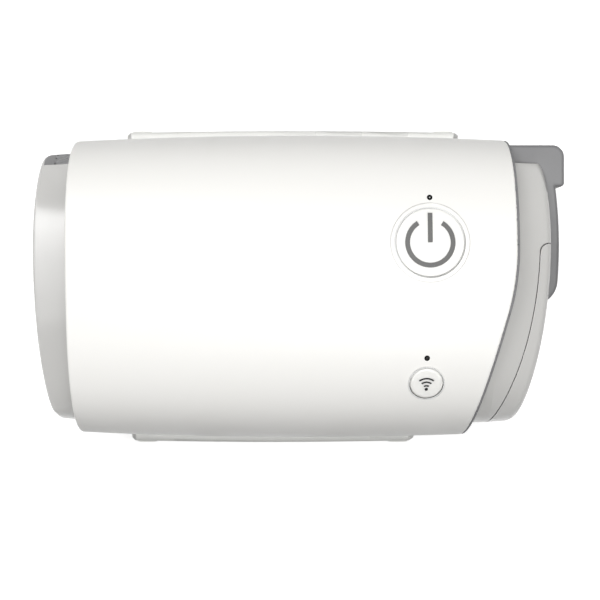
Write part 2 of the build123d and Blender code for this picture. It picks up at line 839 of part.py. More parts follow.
frame_left = filter_left + filter_thickness
with BuildPart() as filter_frame:
    add(housing_inside)
    with BuildSketch(Plane.XY):
        with Locations((frame_left, 0)):
            Rectangle(frame_thickness, deep, align=(Align.MIN, Align.CENTER))
    extrude(amount=top_reach, mode=Mode.INTERSECT)
    bar_pitch = window_width / (frame_bars + 1)
    with BuildSketch(Plane.YZ.offset(frame_left - overrun)):
        with Locations((0, (window_bottom + window_top) / 2)):
            RectangleRounded(window_width, window_top - window_bottom, window_corner)
            with GridLocations(bar_pitch, 0, frame_bars, 1):
                Rectangle(bar_width, window_top, mode=Mode.SUBTRACT)
    extrude(amount=frame_thickness + 2 * overrun, mode=Mode.SUBTRACT)
filter_frame.part.label = "filter_frame"
export_step(filter_frame.part, "parts/filter_frame.step")

# Inlet muffler: foam block behind the bulkhead with a passage through it
foam_left = housing_left + bulkhead_thickness
with BuildPart() as inlet_foam:
    with BuildSketch(Plane.YZ.offset(foam_left)):
        with Locations((0, inlet_z)):
            RectangleRounded(foam_width, foam_height, window_corner)
            Circle(foam_passage / 2, mode=Mode.SUBTRACT)
    extrude(amount=foam_length)
inlet_foam.part.label = "inlet_foam"
export_step(inlet_foam.part, "parts/inlet_foam.step")

# Start button: a cap flush with the face on a stem, with two side tabs and an inlaid symbol
start_bottom = face_z - button_depth
with BuildPart() as start_blank:
    with BuildSketch(Plane((start_x, start_y, start_bottom))):
        Circle(start_cap)
    extrude(amount=2 * button_depth)
    add(body_form, mode=Mode.INTERSECT)
    fillet(start_blank.faces().sort_by(Axis.Z)[-1].edges(), start_round)
    with BuildSketch(Plane((start_x, start_y, start_tab_top - tab_height))):
        Rectangle(2 * (start_cap + tab_reach), tab_width)
    extrude(amount=tab_height)
    with BuildSketch(Plane((start_x, start_y, plunger_top))):
        Circle(stem_diameter / 2)
    extrude(amount=start_bottom - plunger_top)

symbol_reach = math.tan(math.radians(symbol_gap_angle / 2))
with BuildPart() as start_symbol:
    with BuildSketch(Plane((start_x, start_y, face_z - button_depth / 2))):
        Circle(symbol_diameter / 2)
        Circle(symbol_diameter / 2 - symbol_stroke, mode=Mode.SUBTRACT)
        with BuildLine():
            Polyline(
                (0, 0),
                (-symbol_diameter * symbol_reach, symbol_diameter),
                (symbol_diameter * symbol_reach, symbol_diameter),
                close=True,
            )
        make_face(mode=Mode.SUBTRACT)
        with Locations((0, symbol_bar / 2)):
            Rectangle(symbol_stroke, symbol_bar)
    extrude(amount=button_depth)
    add(body_form, mode=Mode.INTERSECT)
    add(barrel(symbol_depth, (0, form_reach / 2, form_reach)), mode=Mode.SUBTRACT)
start_symbol.part.label = "start_symbol"
export_step(start_symbol.part, "parts/start_symbol.step")

with BuildPart() as start_button:
    add(start_blank.part)
    add(start_symbol.part, mode=Mode.SUBTRACT)
start_button.part.label = "start_button"
export_step(start_button.part, "parts/start_button.step")

# Pairing button: the same on the slope of the face, with a dot and three waves
with BuildPart() as pairing_blank:
    with BuildSketch(pairing_plane.offset(-pairing_depth)):
        Circle(pairing_cap)
    extrude(amount=2 * pairing_depth)
    add(body_form, mode=Mode.INTERSECT)
    fillet(pairing_blank.faces().sort_by(Axis.Z)[-1].edges(), pairing_round)
    with BuildSketch(pairing_plane.offset(-pairing_tab_top - tab_height)):
        Rectangle(2 * (pairing_cap + tab_reach), tab_width)
    extrude(amount=tab_height)
    with BuildSketch(pairing_plane.offset(-pairing_depth)):
        Circle(pairing_stem / 2)
    extrude(amount=-2 * pairing_depth)
    with BuildSketch(Plane((pairing_x, pairing_switch_y, plunger_top))):
        Rectangle(deep, deep)
    extrude(amount=-top_reach, mode=Mode.SUBTRACT)

wave_low = -pairing_wave_step * pairing_waves / 2
wave_high = wave_low + pairing_hole
wave_reach = pairing_hole * math.tan(math.radians(pairing_wave_angle / 2))
with BuildPart() as pairing_symbol:
    with BuildSketch(pairing_plane.offset(-pairing_depth / 2)):
        with Locations((0, wave_low)):
            for wave in range(pairing_waves, 0, -1):
                Circle(pairing_wave_step * wave + pairing_stroke / 2)
                Circle(pairing_wave_step * wave - pairing_stroke / 2, mode=Mode.SUBTRACT)
        with BuildLine():
            Polyline((0, wave_low), (-wave_reach, wave_high), (wave_reach, wave_high), close=True)
        make_face(mode=Mode.INTERSECT)
        with Locations((0, wave_low)):
            Circle(pairing_dot / 2)
    extrude(amount=pairing_depth)
    add(body_form, mode=Mode.INTERSECT)
    add(barrel(symbol_depth, (0, form_reach / 2, form_reach)), mode=Mode.SUBTRACT)
pairing_symbol.part.label = "pairing_symbol"
export_step(pairing_symbol.part, "parts/pairing_symbol.step")

with BuildPart() as pairing_button:
    add(pairing_blank.part)
    add(pairing_symbol.part, mode=Mode.SUBTRACT)
pairing_button.part.label = "pairing_button"
export_step(pairing_button.part, "parts/pairing_button.step")

# Status lights: dark rings in the sleeve, clear guides through them down to lamps on the board
lamp_top = board_top + lamp_height
light_fall = pairing_light_plane.origin.Z - lamp_top
lamp_places = (
    (start_x, power_light_y),
    (pairing_x, light_place.Y + light_fall * math.tan(pairing_tilt)),
)
with BuildPart() as light_rings:
    for plane in light_planes:
        with BuildSketch(plane.offset(overrun)):
            Circle(light_ring / 2)
            Circle(light_core / 2, mode=Mode.SUBTRACT)
        extrude(amount=-sleeve_wall - overrun)
    add(body_form, mode=Mode.INTERSECT)
light_rings.part.label = "light_rings"
export_step(light_rings.part, "parts/light_rings.step")

with BuildPart() as light_guides:
    for plane in light_planes:
        with BuildSketch(plane.offset(overrun)):
            Circle(light_core / 2)
        extrude(amount=-2 * light_fall)
    add(body_form, mode=Mode.INTERSECT)
    with BuildSketch(Plane((pairing_x, 0, lamp_top))):
        Rectangle(deep, deep)
    extrude(amount=-top_reach, mode=Mode.SUBTRACT)
light_guides.part.label = "light_guides"
export_step(light_guides.part, "parts/light_guides.step")

with BuildPart() as lamps:
    with BuildSketch(Plane.XY.offset(board_top)):
        with Locations(*lamp_places):
            Rectangle(lamp_size, lamp_size)
    extrude(amount=lamp_height)
lamps.part.label = "lamps"
export_step(lamps.part, "parts/lamps.step")


# Push switches: a body on the board and a plunger that moves with its button
def switch_body(x, y, width, plunger):
    """Switch body with a well for its plunger."""
    with BuildPart() as body:
        with BuildSketch(Plane((x, y, board_top))):
            RectangleRounded(width, width, soft_edge)
        extrude(amount=switch_height)
        with BuildSketch(Plane((x, y, board_top + switch_height))):
            Circle(plunger / 2 + plunger_play)
        extrude(amount=-switch_well, mode=Mode.SUBTRACT)
    return body.part


with BuildPart() as start_switch:
    add(switch_body(start_x, start_y, switch_width, switch_plunger))
start_switch.part.label = "start_switch"
export_step(start_switch.part, "parts/start_switch.step")

with BuildPart() as pairing_switch:
    add(switch_body(pairing_x, pairing_switch_y, small_switch_width, small_plunger))
pairing_switch.part.label = "pairing_switch"
export_step(pairing_switch.part, "parts/pairing_switch.step")

with BuildPart() as start_plunger:
    with BuildSketch(Plane((start_x, start_y, plunger_top))):
        Circle(switch_plunger / 2)
    extrude(amount=-plunger_height - plunger_seat)
start_plunger.part.label = "start_plunger"
export_step(start_plunger.part, "parts/start_plunger.step")

with BuildPart() as pairing_plunger:
    with BuildSketch(Plane((pairing_x, pairing_switch_y, plunger_top))):
        Circle(small_plunger / 2)
    extrude(amount=-plunger_height - plunger_seat)
pairing_plunger.part.label = "pairing_plunger"
export_step(pairing_plunger.part, "parts/pairing_plunger.step")

# Circuit board, hung from the front housing, with a window over the blower's inlet
blower_y = outlet_y - volute_radius + duct_bore / 2 + volute_margin
board_bottom = board_top - board_thickness
with BuildPart() as main_board:
    with BuildSketch(Plane.XY.offset(board_top)):
        with Locations(((board_left + board_right) / 2, 0)):
            RectangleRounded(board_right - board_left, board_width, board_corner)
        with Locations((blower_x, blower_y)):
            Circle(board_window / 2, mode=Mode.SUBTRACT)
        with Locations(*board_screw_places):
            Circle(screw_diameter / 2, mode=Mode.SUBTRACT)
    extrude(amount=-board_thickness)
main_board.part.label = "main_board"
export_step(main_board.part, "parts/main_board.step")

with BuildPart() as board_chips:
    with BuildSketch(Plane.XY.offset(board_top)):
        with Locations(chip_place):
            Rectangle(chip_width, chip_width)
        with Locations(driver_place):
            Rectangle(driver_width, driver_width)
    extrude(amount=chip_height)
board_chips.part.label = "board_chips"
export_step(board_chips.part, "parts/board_chips.step")

with BuildPart() as wireless_module:
    with BuildSketch(Plane.XY.offset(board_top)):
        with Locations(wireless_place):
            Rectangle(wireless_length, wireless_width)
    extrude(amount=wireless_height)
    chamfer(wireless_module.faces().sort_by(Axis.Z)[-1].edges(), soft_edge)
wireless_module.part.label = "wireless_module"
export_step(wireless_module.part, "parts/wireless_module.step")

with BuildPart() as capacitors:
    with BuildSketch(Plane.XY.offset(board_top)):
        with Locations(capacitor_place):
            with GridLocations(0, capacitor_pitch, 1, capacitor_count):
                Circle(capacitor_diameter / 2)
    extrude(amount=capacitor_height)
    fillet(capacitors.edges().group_by(Axis.Z)[-1], soft_edge)
capacitors.part.label = "capacitors"
export_step(capacitors.part, "parts/capacitors.step")

with BuildPart() as board_connector:
    with BuildSketch(Plane.XY.offset(board_bottom)):
        with Locations(connector_place):
            Rectangle(connector_width, connector_length)
    extrude(amount=-connector_height)
    with BuildSketch(Plane.XY.offset(board_bottom - connector_height)):
        with Locations(connector_place):
            with GridLocations(0, connector_pitch, 1, connector_pins):
                Rectangle(connector_width / 2, connector_pitch / 2)
    extrude(amount=connector_height / 2, mode=Mode.SUBTRACT)
board_connector.part.label = "board_connector"
export_step(board_connector.part, "parts/board_connector.step")

# Pressure sensor under the board, its nipple towards the outlet hose
with BuildPart() as flow_sensor:
    with BuildSketch(Plane.XY.offset(board_bottom)):
        with Locations((sensor_x, outlet_y)):
            Rectangle(sensor_width, sensor_width)
    extrude(amount=-sensor_height)
    with BuildSketch(Plane.XY.offset(board_bottom - sensor_height)):
        with Locations((sensor_x, outlet_y)):
            Circle(nipple_diameter / 2)
            Circle(nipple_diameter / 4, mode=Mode.SUBTRACT)
    extrude(amount=-nipple_length)
flow_sensor.part.label = "flow_sensor"
export_step(flow_sensor.part, "parts/flow_sensor.step")


# Screws: socket heads with plain shanks, driven upwards
def screws(places, seat, length):
    """Screws with their heads under seat and their shanks running up from it."""
    with BuildPart() as group:
        with BuildSketch(Plane.XY.offset(seat)):
            with Locations(*places):
                Circle(screw_head / 2)
        extrude(amount=-screw_head_height)
        with BuildSketch(Plane.XY.offset(seat)):
            with Locations(*places):
                Circle(screw_diameter / 2)
        extrude(amount=length)
        with BuildSketch(Plane.XY.offset(seat - screw_head_height)):
            with Locations(*places):
                RegularPolygon(screw_socket / 2, 6)
        extrude(amount=screw_head_height / 2, mode=Mode.SUBTRACT)
    return group.part


with BuildPart() as board_screws:
    add(screws(board_screw_places, board_bottom, board_screw_length))
board_screws.part.label = "board_screws"
export_step(board_screws.part, "parts/board_screws.step")

with BuildPart() as housing_screws:
    add(screws(post_places, split_height - housing_screw_seat, housing_screw_seat + housing_screw_depth))
housing_screws.part.label = "housing_screws"
export_step(housing_screws.part, "parts/housing_screws.step")

with BuildPart() as base_screws:
    add(screws(base_screw_places, base_bottom + screw_head_height, base_screw_length))
base_screws.part.label = "base_screws"
export_step(base_screws.part, "parts/base_screws.step")


# Blower, standing on soft mounts with its axis upright
def blower_plane(height):
    """Plane across the blower's axis at a height."""
    return Plane((blower_x, blower_y, height))


volute_height = duct_bore + 2 * volute_margin
volute_floor = outlet_z - volute_height / 2
volute_roof = volute_floor + volute_height
well_bottom = volute_floor - motor_well_depth
well_radius = rotor_diameter / 2 + rotor_clearance
plate_bottom = volute_floor + plate_clearance
plate_top = plate_bottom + impeller_plate

with BuildPart() as blower_form:
    with BuildSketch(blower_plane(volute_floor - blower_wall)):
        Circle(volute_radius + blower_wall)
    extrude(amount=volute_height + 2 * blower_wall)
    with BuildSketch(Plane.YZ.offset(blower_x)):
        with Locations((outlet_y, outlet_z)):
            Circle(duct_bore / 2 + duct_wall)
    extrude(amount=stub_end - blower_x)
    with BuildSketch(blower_plane(volute_floor)):
        Circle(volute_radius)
    extrude(amount=volute_height, mode=Mode.SUBTRACT)
    with BuildSketch(Plane.YZ.offset(blower_x)):
        with Locations((outlet_y, outlet_z)):
            Circle(duct_bore / 2)
    extrude(amount=deep, mode=Mode.SUBTRACT)

with BuildPart() as blower_housing:
    add(blower_form.part)
    with BuildSketch(Plane.XY.offset(outlet_z)):
        Rectangle(2 * deep, 2 * deep)
    extrude(amount=top_reach, mode=Mode.SUBTRACT)
    with BuildSketch(blower_plane(well_bottom - blower_wall)):
        Circle(well_radius + blower_wall)
    extrude(amount=motor_well_depth + blower_wall)
    with BuildSketch(blower_plane(well_bottom)):
        Circle(well_radius)
    extrude(amount=motor_well_depth, mode=Mode.SUBTRACT)
    with BuildSketch(blower_plane(well_bottom)):
        Circle(bearing_diameter / 2 + bearing_tube_wall)
        Circle(bearing_diameter / 2, mode=Mode.SUBTRACT)
    extrude(amount=bearing_tube_height)
blower_housing.part.label = "blower_housing"
export_step(blower_housing.part, "parts/blower_housing.step")

with BuildPart() as blower_cover:
    add(blower_form.part)
    with BuildSketch(Plane.XY.offset(outlet_z)):
        Rectangle(2 * deep, 2 * deep)
    extrude(amount=-top_reach, mode=Mode.SUBTRACT)
    with BuildSketch(blower_plane(volute_roof)):
        Circle(blower_inlet / 2)
    extrude(amount=top_reach, mode=Mode.SUBTRACT)
blower_cover.part.label = "blower_cover"
export_step(blower_cover.part, "parts/blower_cover.step")

with BuildPart() as blower_mounts:
    with BuildSketch(blower_plane(0)):
        with PolarLocations(blower_mount_radius, blower_mount_count, start_angle=45):
            Circle(blower_mount_diameter / 2)
    extrude(amount=volute_floor - blower_wall)
    add(barrel(floor_inset, (-left_shoulder, 0, right_shoulder)), mode=Mode.INTERSECT)
blower_mounts.part.label = "blower_mounts"
export_step(blower_mounts.part, "parts/blower_mounts.step")

# Motor: stator and coils round the bearing tube, a rotor cup over them, the impeller on top
stator_low = well_bottom + stator_lift
stator_radius = rotor_diameter / 2 - rotor_wall - stator_air_gap
tube_radius = bearing_diameter / 2 + bearing_tube_wall
arm_start = tube_radius + stator_hub_wall
with BuildPart() as motor_stator:
    with BuildSketch(blower_plane(stator_low)):
        Circle(stator_radius)
        Circle(stator_radius - pole_tip, mode=Mode.SUBTRACT)
        with PolarLocations(stator_radius, stator_arms, start_angle=180 / stator_arms):
            Rectangle(3 * pole_tip, pole_gap, mode=Mode.SUBTRACT)
        with PolarLocations(stator_radius / 2, stator_arms):
            Rectangle(stator_radius - pole_tip / 2, arm_width)
        Circle(arm_start)
        Circle(tube_radius, mode=Mode.SUBTRACT)
    extrude(amount=stator_height)
motor_stator.part.label = "motor_stator"
export_step(motor_stator.part, "parts/motor_stator.step")

coil_length = stator_radius - pole_tip - arm_start - 2 * coil_gap
with BuildPart() as motor_coils:
    with BuildSketch(blower_plane(stator_low - coil_wall)):
        with PolarLocations(arm_start + coil_gap + coil_length / 2, stator_arms):
            RectangleRounded(coil_length, arm_width + 2 * coil_wall, coil_wall / 2)
    extrude(amount=stator_height + 2 * coil_wall)
    add(motor_stator.part, mode=Mode.SUBTRACT)
motor_coils.part.label = "motor_coils"
export_step(motor_coils.part, "parts/motor_coils.step")


def bearing(low):
    """Bearing in the tube, from low upwards."""
    with BuildPart() as ring:
        with BuildSketch(blower_plane(low)):
            Circle(bearing_diameter / 2)
            Circle(shaft_diameter / 2 + running_gap, mode=Mode.SUBTRACT)
        extrude(amount=bearing_height)
    return ring.part


with BuildPart() as lower_bearing:
    add(bearing(well_bottom))
lower_bearing.part.label = "lower_bearing"
export_step(lower_bearing.part, "parts/lower_bearing.step")

with BuildPart() as upper_bearing:
    add(bearing(well_bottom + bearing_tube_height - bearing_height))
upper_bearing.part.label = "upper_bearing"
export_step(upper_bearing.part, "parts/upper_bearing.step")

rotor_low = well_bottom + rotor_floor_gap
with BuildPart() as motor_rotor:
    with BuildSketch(blower_plane(rotor_low)):
        Circle(rotor_diameter / 2)
    extrude(amount=plate_bottom - rotor_low)
    with BuildSketch(blower_plane(rotor_low)):
        Circle(rotor_diameter / 2 - rotor_wall)
    extrude(amount=plate_bottom - rotor_low - rotor_wall, mode=Mode.SUBTRACT)
    with BuildSketch(blower_plane(rotor_low)):
        Circle(shaft_diameter / 2)
    extrude(amount=plate_bottom - rotor_low, mode=Mode.SUBTRACT)
motor_rotor.part.label = "motor_rotor"
export_step(motor_rotor.part, "parts/motor_rotor.step")

hub_top = plate_top + blade_height * hub_share
with BuildPart() as motor_shaft:
    with BuildSketch(blower_plane(well_bottom + slide_gap)):
        Circle(shaft_diameter / 2)
    extrude(amount=hub_top - well_bottom - slide_gap)
motor_shaft.part.label = "motor_shaft"
export_step(motor_shaft.part, "parts/motor_shaft.step")


def polar(radius, degrees):
    """Point at a radius and an angle."""
    return (radius * math.cos(math.radians(degrees)), radius * math.sin(math.radians(degrees)))


# One blade: swept back between its root and the impeller's rim, of even thickness
blade_outer = impeller_diameter / 2 - blade_thickness / 2
blade_radii = (blade_inner, (blade_inner + blade_outer) / 2, blade_outer)
blade_angles = (0, blade_sweep * blade_bend, blade_sweep)
blade_face = [polar(r, a) for r, a in zip(blade_radii, blade_angles)]
blade_back = []
for r, a in zip(blade_radii, blade_angles):
    blade_back.append(polar(r, a + math.degrees(blade_thickness / r)))
with BuildSketch() as blade:
    with BuildLine():
        ThreePointArc(*blade_face)
        Line(blade_face[2], blade_back[2])
        ThreePointArc(*reversed(blade_back))
        Line(blade_back[0], blade_face[0])
    make_face()

with BuildPart() as impeller:
    with BuildSketch(blower_plane(plate_bottom)):
        Circle(impeller_hub / 2)
    extrude(amount=hub_top - plate_bottom)
    fillet(impeller.faces().sort_by(Axis.Z)[-1].edges(), hub_round)
    with BuildSketch(blower_plane(plate_bottom)):
        Circle(impeller_diameter / 2)
    extrude(amount=impeller_plate)
    with BuildSketch(blower_plane(plate_top)):
        with PolarLocations(0, blade_count):
            add(blade.sketch)
    extrude(amount=blade_height)
    with BuildSketch(blower_plane(plate_bottom)):
        Circle(shaft_diameter / 2)
    extrude(amount=top_reach, mode=Mode.SUBTRACT)
impeller.part.label = "impeller"
export_step(impeller.part, "parts/impeller.step")

# Outlet hose: ribbed silicone tube over the blower's stub and the collar's spigot
hose_start = stub_end - hose_lap
hose_end = boss_back - seat_gap
hose_radius = duct_bore / 2 + duct_wall + hose_wall
rib_pitch = (boss_back - spigot_length - stub_end) / hose_ribs
with BuildPart() as outlet_hose:
    with BuildSketch(Plane.YZ.offset(hose_start)):
        with Locations((outlet_y, outlet_z)):
            Circle(hose_radius)
    extrude(amount=hose_end - hose_start)
    for rib in range(hose_ribs):
        rib_middle = stub_end + rib_pitch * (rib + 0.5)
        with BuildSketch(Plane.YZ.offset(rib_middle - hose_rib_width / 2)):
            with Locations((outlet_y, outlet_z)):
                Circle(hose_radius + hose_rib_height)
        extrude(amount=hose_rib_width)
    with BuildSketch(Plane.YZ.offset(hose_start)):
        with Locations((outlet_y, outlet_z)):
            Circle(hose_radius - hose_wall)
    extrude(amount=deep, mode=Mode.SUBTRACT)
outlet_hose.part.label = "outlet_hose"
export_step(outlet_hose.part, "parts/outlet_hose.step")


# Base plate: tray under the sleeve whose two side rails bow out past it, with four foot pads
def rail_side(left, right, side):
    """Three points of a rail's bowed outer side."""
    end = side * (rail_reach - rail_bow)
    return ((left, end), ((left + right) / 2, side * rail_reach), (right, end))


upper_rail = rail_side(rail_upper_left, rail_upper_right, 1)
lower_rail = rail_side(rail_lower_left, rail_lower_right, -1)
foot_x = foot_inset + foot_length / 2  # from a rail's end to the middle of its pad
foot_y = rail_reach - rail_bow + foot_proud - foot_depth / 2
foot_places = (
    (rail_upper_left + foot_x, foot_y),
    (rail_upper_right - foot_x, foot_y),
    (rail_lower_left + foot_x, -foot_y),
    (rail_lower_right - foot_x, -foot_y),
)
with BuildPart() as foot_pads:
    with BuildSketch(Plane.XY):
        with Locations(*foot_places):
            RectangleRounded(foot_length, foot_depth, foot_corner)
    extrude(amount=foot_top)
    fillet(foot_pads.edges().group_by(Axis.Z)[0], foot_round)
    add(body_form, mode=Mode.SUBTRACT)
foot_pads.part.label = "foot_pads"
export_step(foot_pads.part, "parts/foot_pads.step")


def end_line(high, low):
    """The line through two of the rails' corners, drawn on past both sides."""
    skew = (high[0] - low[0]) / (high[1] - low[1])
    return [(high[0] + skew * (y - high[1]), y) for y in (side_reach, -side_reach)]


rail_ends = (
    (upper_rail[0], lower_rail[0], rail_lean, form_reach),
    (upper_rail[2], lower_rail[2], -rail_lean, -form_reach),
)
with BuildPart() as base_plate:
    with BuildSketch(Plane.XY.offset(base_bottom)):
        with BuildLine():
            ThreePointArc(*upper_rail)
            Line(upper_rail[2], lower_rail[2])
            ThreePointArc(*reversed(lower_rail))
            Line(lower_rail[0], upper_rail[0])
        make_face()
    extrude(amount=rail_top - base_bottom)
    for high, low, lean, far in rail_ends:
        with BuildSketch(Plane.XY.offset(base_bottom)):
            with BuildLine():
                Polyline(*end_line(high, low), (far, -side_reach), (far, side_reach), close=True)
            make_face()
        extrude(amount=belly_height, dir=(lean, 0, 1), mode=Mode.INTERSECT)
    brim = base_plate.faces().sort_by(Axis.Z)[-1].edges().sort_by(Axis.Y)
    fillet((brim[0], brim[-1]), rail_round)
    chamfer(base_plate.faces().sort_by(Axis.Z)[0].edges(), base_bevel)
    add(body_form, mode=Mode.SUBTRACT)
    add(foot_pads.part, mode=Mode.SUBTRACT)
    with BuildSketch(Plane.XY.offset(base_bottom)):
        with Locations(*base_screw_places):
            Circle(screw_head / 2 + seat_gap)
    extrude(amount=screw_head_height, mode=Mode.SUBTRACT)
    with BuildSketch(Plane.XY.offset(base_bottom)):
        with Locations(*base_screw_places):
            Circle(screw_diameter / 2)
    extrude(amount=belly_height, mode=Mode.SUBTRACT)
base_plate.part.label = "base_plate"
export_step(base_plate.part, "parts/base_plate.step")
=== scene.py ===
import math

import bmesh
import bpy
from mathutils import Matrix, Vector


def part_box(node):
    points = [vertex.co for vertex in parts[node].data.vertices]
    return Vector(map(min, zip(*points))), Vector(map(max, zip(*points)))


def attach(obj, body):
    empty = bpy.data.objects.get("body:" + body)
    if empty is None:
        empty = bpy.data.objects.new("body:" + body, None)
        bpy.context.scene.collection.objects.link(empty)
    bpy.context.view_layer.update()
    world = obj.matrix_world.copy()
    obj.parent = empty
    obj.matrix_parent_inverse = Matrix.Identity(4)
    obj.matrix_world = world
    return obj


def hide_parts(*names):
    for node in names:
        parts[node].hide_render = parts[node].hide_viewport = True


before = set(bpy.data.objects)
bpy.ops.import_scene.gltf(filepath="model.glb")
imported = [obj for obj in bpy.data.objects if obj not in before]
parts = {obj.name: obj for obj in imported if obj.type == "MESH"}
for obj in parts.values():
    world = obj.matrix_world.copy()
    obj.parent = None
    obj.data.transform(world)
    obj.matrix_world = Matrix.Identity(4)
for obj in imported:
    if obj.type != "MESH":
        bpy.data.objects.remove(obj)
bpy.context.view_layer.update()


# Outer sleeve: one injection-moulded tube of warm white ABS that slides over the housing. Its mould
# was polished and then lightly blasted, so the face has a soft sheen and only the faintest grain.
def linear(hex_colour):
    """Linear colour, with full cover, of an sRGB hex value."""
    shares = [int(hex_colour[k : k + 2], 16) / 255 for k in (1, 3, 5)]
    return [c / 12.92 if c <= 0.04045 else ((c + 0.055) / 1.055) ** 2.4 for c in shares] + [1]


def add_node(owner, kind, inputs, **settings):
    """Add a node to a material or the world; an input is a value or an output to link to it."""
    made = owner.node_tree.nodes.new(kind)
    for name, value in settings.items():
        setattr(made, name, value)
    for name, value in inputs.items():
        if isinstance(value, bpy.types.NodeSocket):
            owner.node_tree.links.new(value, made.inputs[name])
        else:
            made.inputs[name].default_value = value
    return made


def new_material(name, **constants):
    """A material with its shader's plain numbers set, and the piece's own coordinates."""
    material = bpy.data.materials.new(name)
    material.use_nodes = True
    shader = material.node_tree.nodes["Principled BSDF"]
    for socket, value in constants.items():
        shader.inputs[socket.replace("_", " ")].default_value = value
    place = add_node(material, "ShaderNodeTexCoord", {}).outputs["Object"]
    return material, shader, place


def link(owner, output, socket):
    """Link an output to a socket of a node that is there already."""
    owner.node_tree.links.new(output, socket)


def moulded(
    name, colour, tone, rubbed, roughness, grain_mm, relief_mm, edge_mm=0.2, seam_shade=0.6, **constants
):
    """Moulded plastic: blasted grain, clouded gloss, rubbed edges, and painted shade that darkens
    its seams and creases.
    """
    flow_mm = 16  # clouds that the melt leaves as it fills the mould
    edge_gloss = 0.12  # how much smoother a rubbed edge is
    seam_reach = 0.0009  # how far the painted shade reaches from a seam
    # painted shade: near-black that is mixed into the colour where a seam or crease is close by
    dust_and_seam_shade = "#1c1c1b"
    material, shader, place = new_material(name, **constants)
    grain = add_node(
        material,
        "ShaderNodeTexNoise",
        {"Vector": place, "Scale": 1000 / grain_mm, "Detail": 2.0, "Roughness": 0.6},
    )
    flow = add_node(
        material,
        "ShaderNodeTexNoise",
        {"Vector": place, "Scale": 1000 / flow_mm, "Detail": 4.0, "Distortion": 0.6},
    )
    edge = add_node(material, "ShaderNodeBevel", {"Radius": edge_mm / 1000}, samples=6)
    facing = add_node(material, "ShaderNodeNewGeometry", {})
    turned = add_node(
        material,
        "ShaderNodeVectorMath",
        {0: edge.outputs["Normal"], 1: facing.outputs["Normal"]},
        operation="DOT_PRODUCT",
    )
    # rubbed where the normal of a rounded edge has turned by 10 to 37 degrees
    worn = add_node(
        material,
        "ShaderNodeMapRange",
        {
            "Value": turned.outputs["Value"],
            "From Min": 0.985, "From Max": 0.8,
            "To Min": 0.0, "To Max": 0.7,
        },
    )
    # inputs 6 and 7 of a Mix node are its two colours, and output 2 is their blend
    body = add_node(
        material,
        "ShaderNodeMix",
        {0: flow.outputs["Fac"], 6: linear(colour), 7: linear(tone)},
        data_type="RGBA",
    )
    shade = add_node(
        material,
        "ShaderNodeMix",
        {0: worn.outputs["Result"], 6: body.outputs[2], 7: linear(rubbed)},
        data_type="RGBA",
    )
    # painted shade: where ambient occlusion finds a seam, gap or crease close by, the colour is
    # darkened towards near-black
    seam = add_node(material, "ShaderNodeAmbientOcclusion", {"Distance": seam_reach}, samples=8)
    seam_shade_mask = add_node(
        material,
        "ShaderNodeMapRange",
        {
            "Value": seam.outputs["AO"],
            "From Min": 0.9, "From Max": 0.4,
            "To Min": 0.0, "To Max": seam_shade,
        },
    )
    seam_shaded = add_node(
        material,
        "ShaderNodeMix",
        {0: seam_shade_mask.outputs["Result"], 6: shade.outputs[2], 7: linear(dust_and_seam_shade)},
        data_type="RGBA",
    )
    cloud = add_node(
        material,
        "ShaderNodeMapRange",
        {
            "Value": flow.outputs["Fac"],
            "From Min": 0.3, "From Max": 0.7,
            "To Min": roughness - 0.04, "To Max": roughness + 0.05,
        },
    )
    dull = add_node(
        material,
        "ShaderNodeMath",
        {0: worn.outputs["Result"], 1: -edge_gloss, 2: cloud.outputs["Result"]},
        operation="MULTIPLY_ADD",
    )
    bump = add_node(
        material,
        "ShaderNodeBump",
        {
            "Height": grain.outputs["Fac"],
            "Distance": relief_mm / 1000,
            "Normal": edge.outputs["Normal"],
        },
    )
    link(material, seam_shaded.outputs[2], shader.inputs["Base Color"])
    link(material, dull.outputs["Value"], shader.inputs["Roughness"])
    link(material, bump.outputs["Normal"], shader.inputs["Normal"])
    return material


def finish_as(material, *names):
    """Give CAD nodes a material in place of the one they came with."""
    for name in names:
        parts[name].data.materials.clear()
        parts[name].data.materials.append(material)


# polished and lightly blasted ABS: a milky white with a broad, soft highlight
white_abs = moulded(
    "white_abs_satin", "#f6f5f2", "#f4f3ef", "#f9f9f7",
    roughness=0.4, grain_mm=0.5, relief_mm=0.006, seam_shade=0.35, IOR=1.53,
)
finish_as(white_abs, "outer_sleeve")


# Inner housing, end panel and filter cover: light grey ABS, moulded in the same fine spark-eroded
# texture, glossy enough for a lamp to draw a soft band along the sloped ends.
# spark-eroded ABS: a cool light grey whose grain breaks up its highlight
grey_abs = moulded(
    "grey_abs_spark_eroded", "#d6d5d2", "#d3d2cf", "#dedddb",
    roughness=0.18, grain_mm=0.45, relief_mm=0.002, seam_shade=0.4, IOR=1.53,
)
finish_as(grey_abs, "front_housing", "rear_housing", "end_panel")
# the same plastic with a wider rubbed rim, where fingers pull the cover off
cover_abs = moulded(
    "grey_abs_handled", "#d5d4d1", "#d2d1ce", "#dddcda",
    roughness=0.18, grain_mm=0.45, relief_mm=0.002, edge_mm=0.8, IOR=1.53,
)
finish_as(cover_abs, "filter_cover")


# Outlet collar, with the hood over the tube's mouth, and the air inlet's grille: moulded in dark
# grey glass-filled nylon, matt and a little chalky, because they get handled most.
# glass-filled nylon: a dry mid grey, with a coarse grain and pale rubbed edges
dark_nylon = moulded(
    "dark_nylon_glass_filled", "#777778", "#717172", "#8a8a8b",
    roughness=0.5, grain_mm=0.4, relief_mm=0.02, edge_mm=0.7, IOR=1.52,
)
finish_as(dark_nylon, "outlet_collar")
# the same nylon on the grille, paler with the fluff that the air leaves on it
grille_nylon = moulded(
    "dark_nylon_dusty", "#868687", "#808081", "#98989a",
    roughness=0.55, grain_mm=0.4, relief_mm=0.02, edge_mm=0.3, IOR=1.52,
)
finish_as(grille_nylon, "inlet_grille")


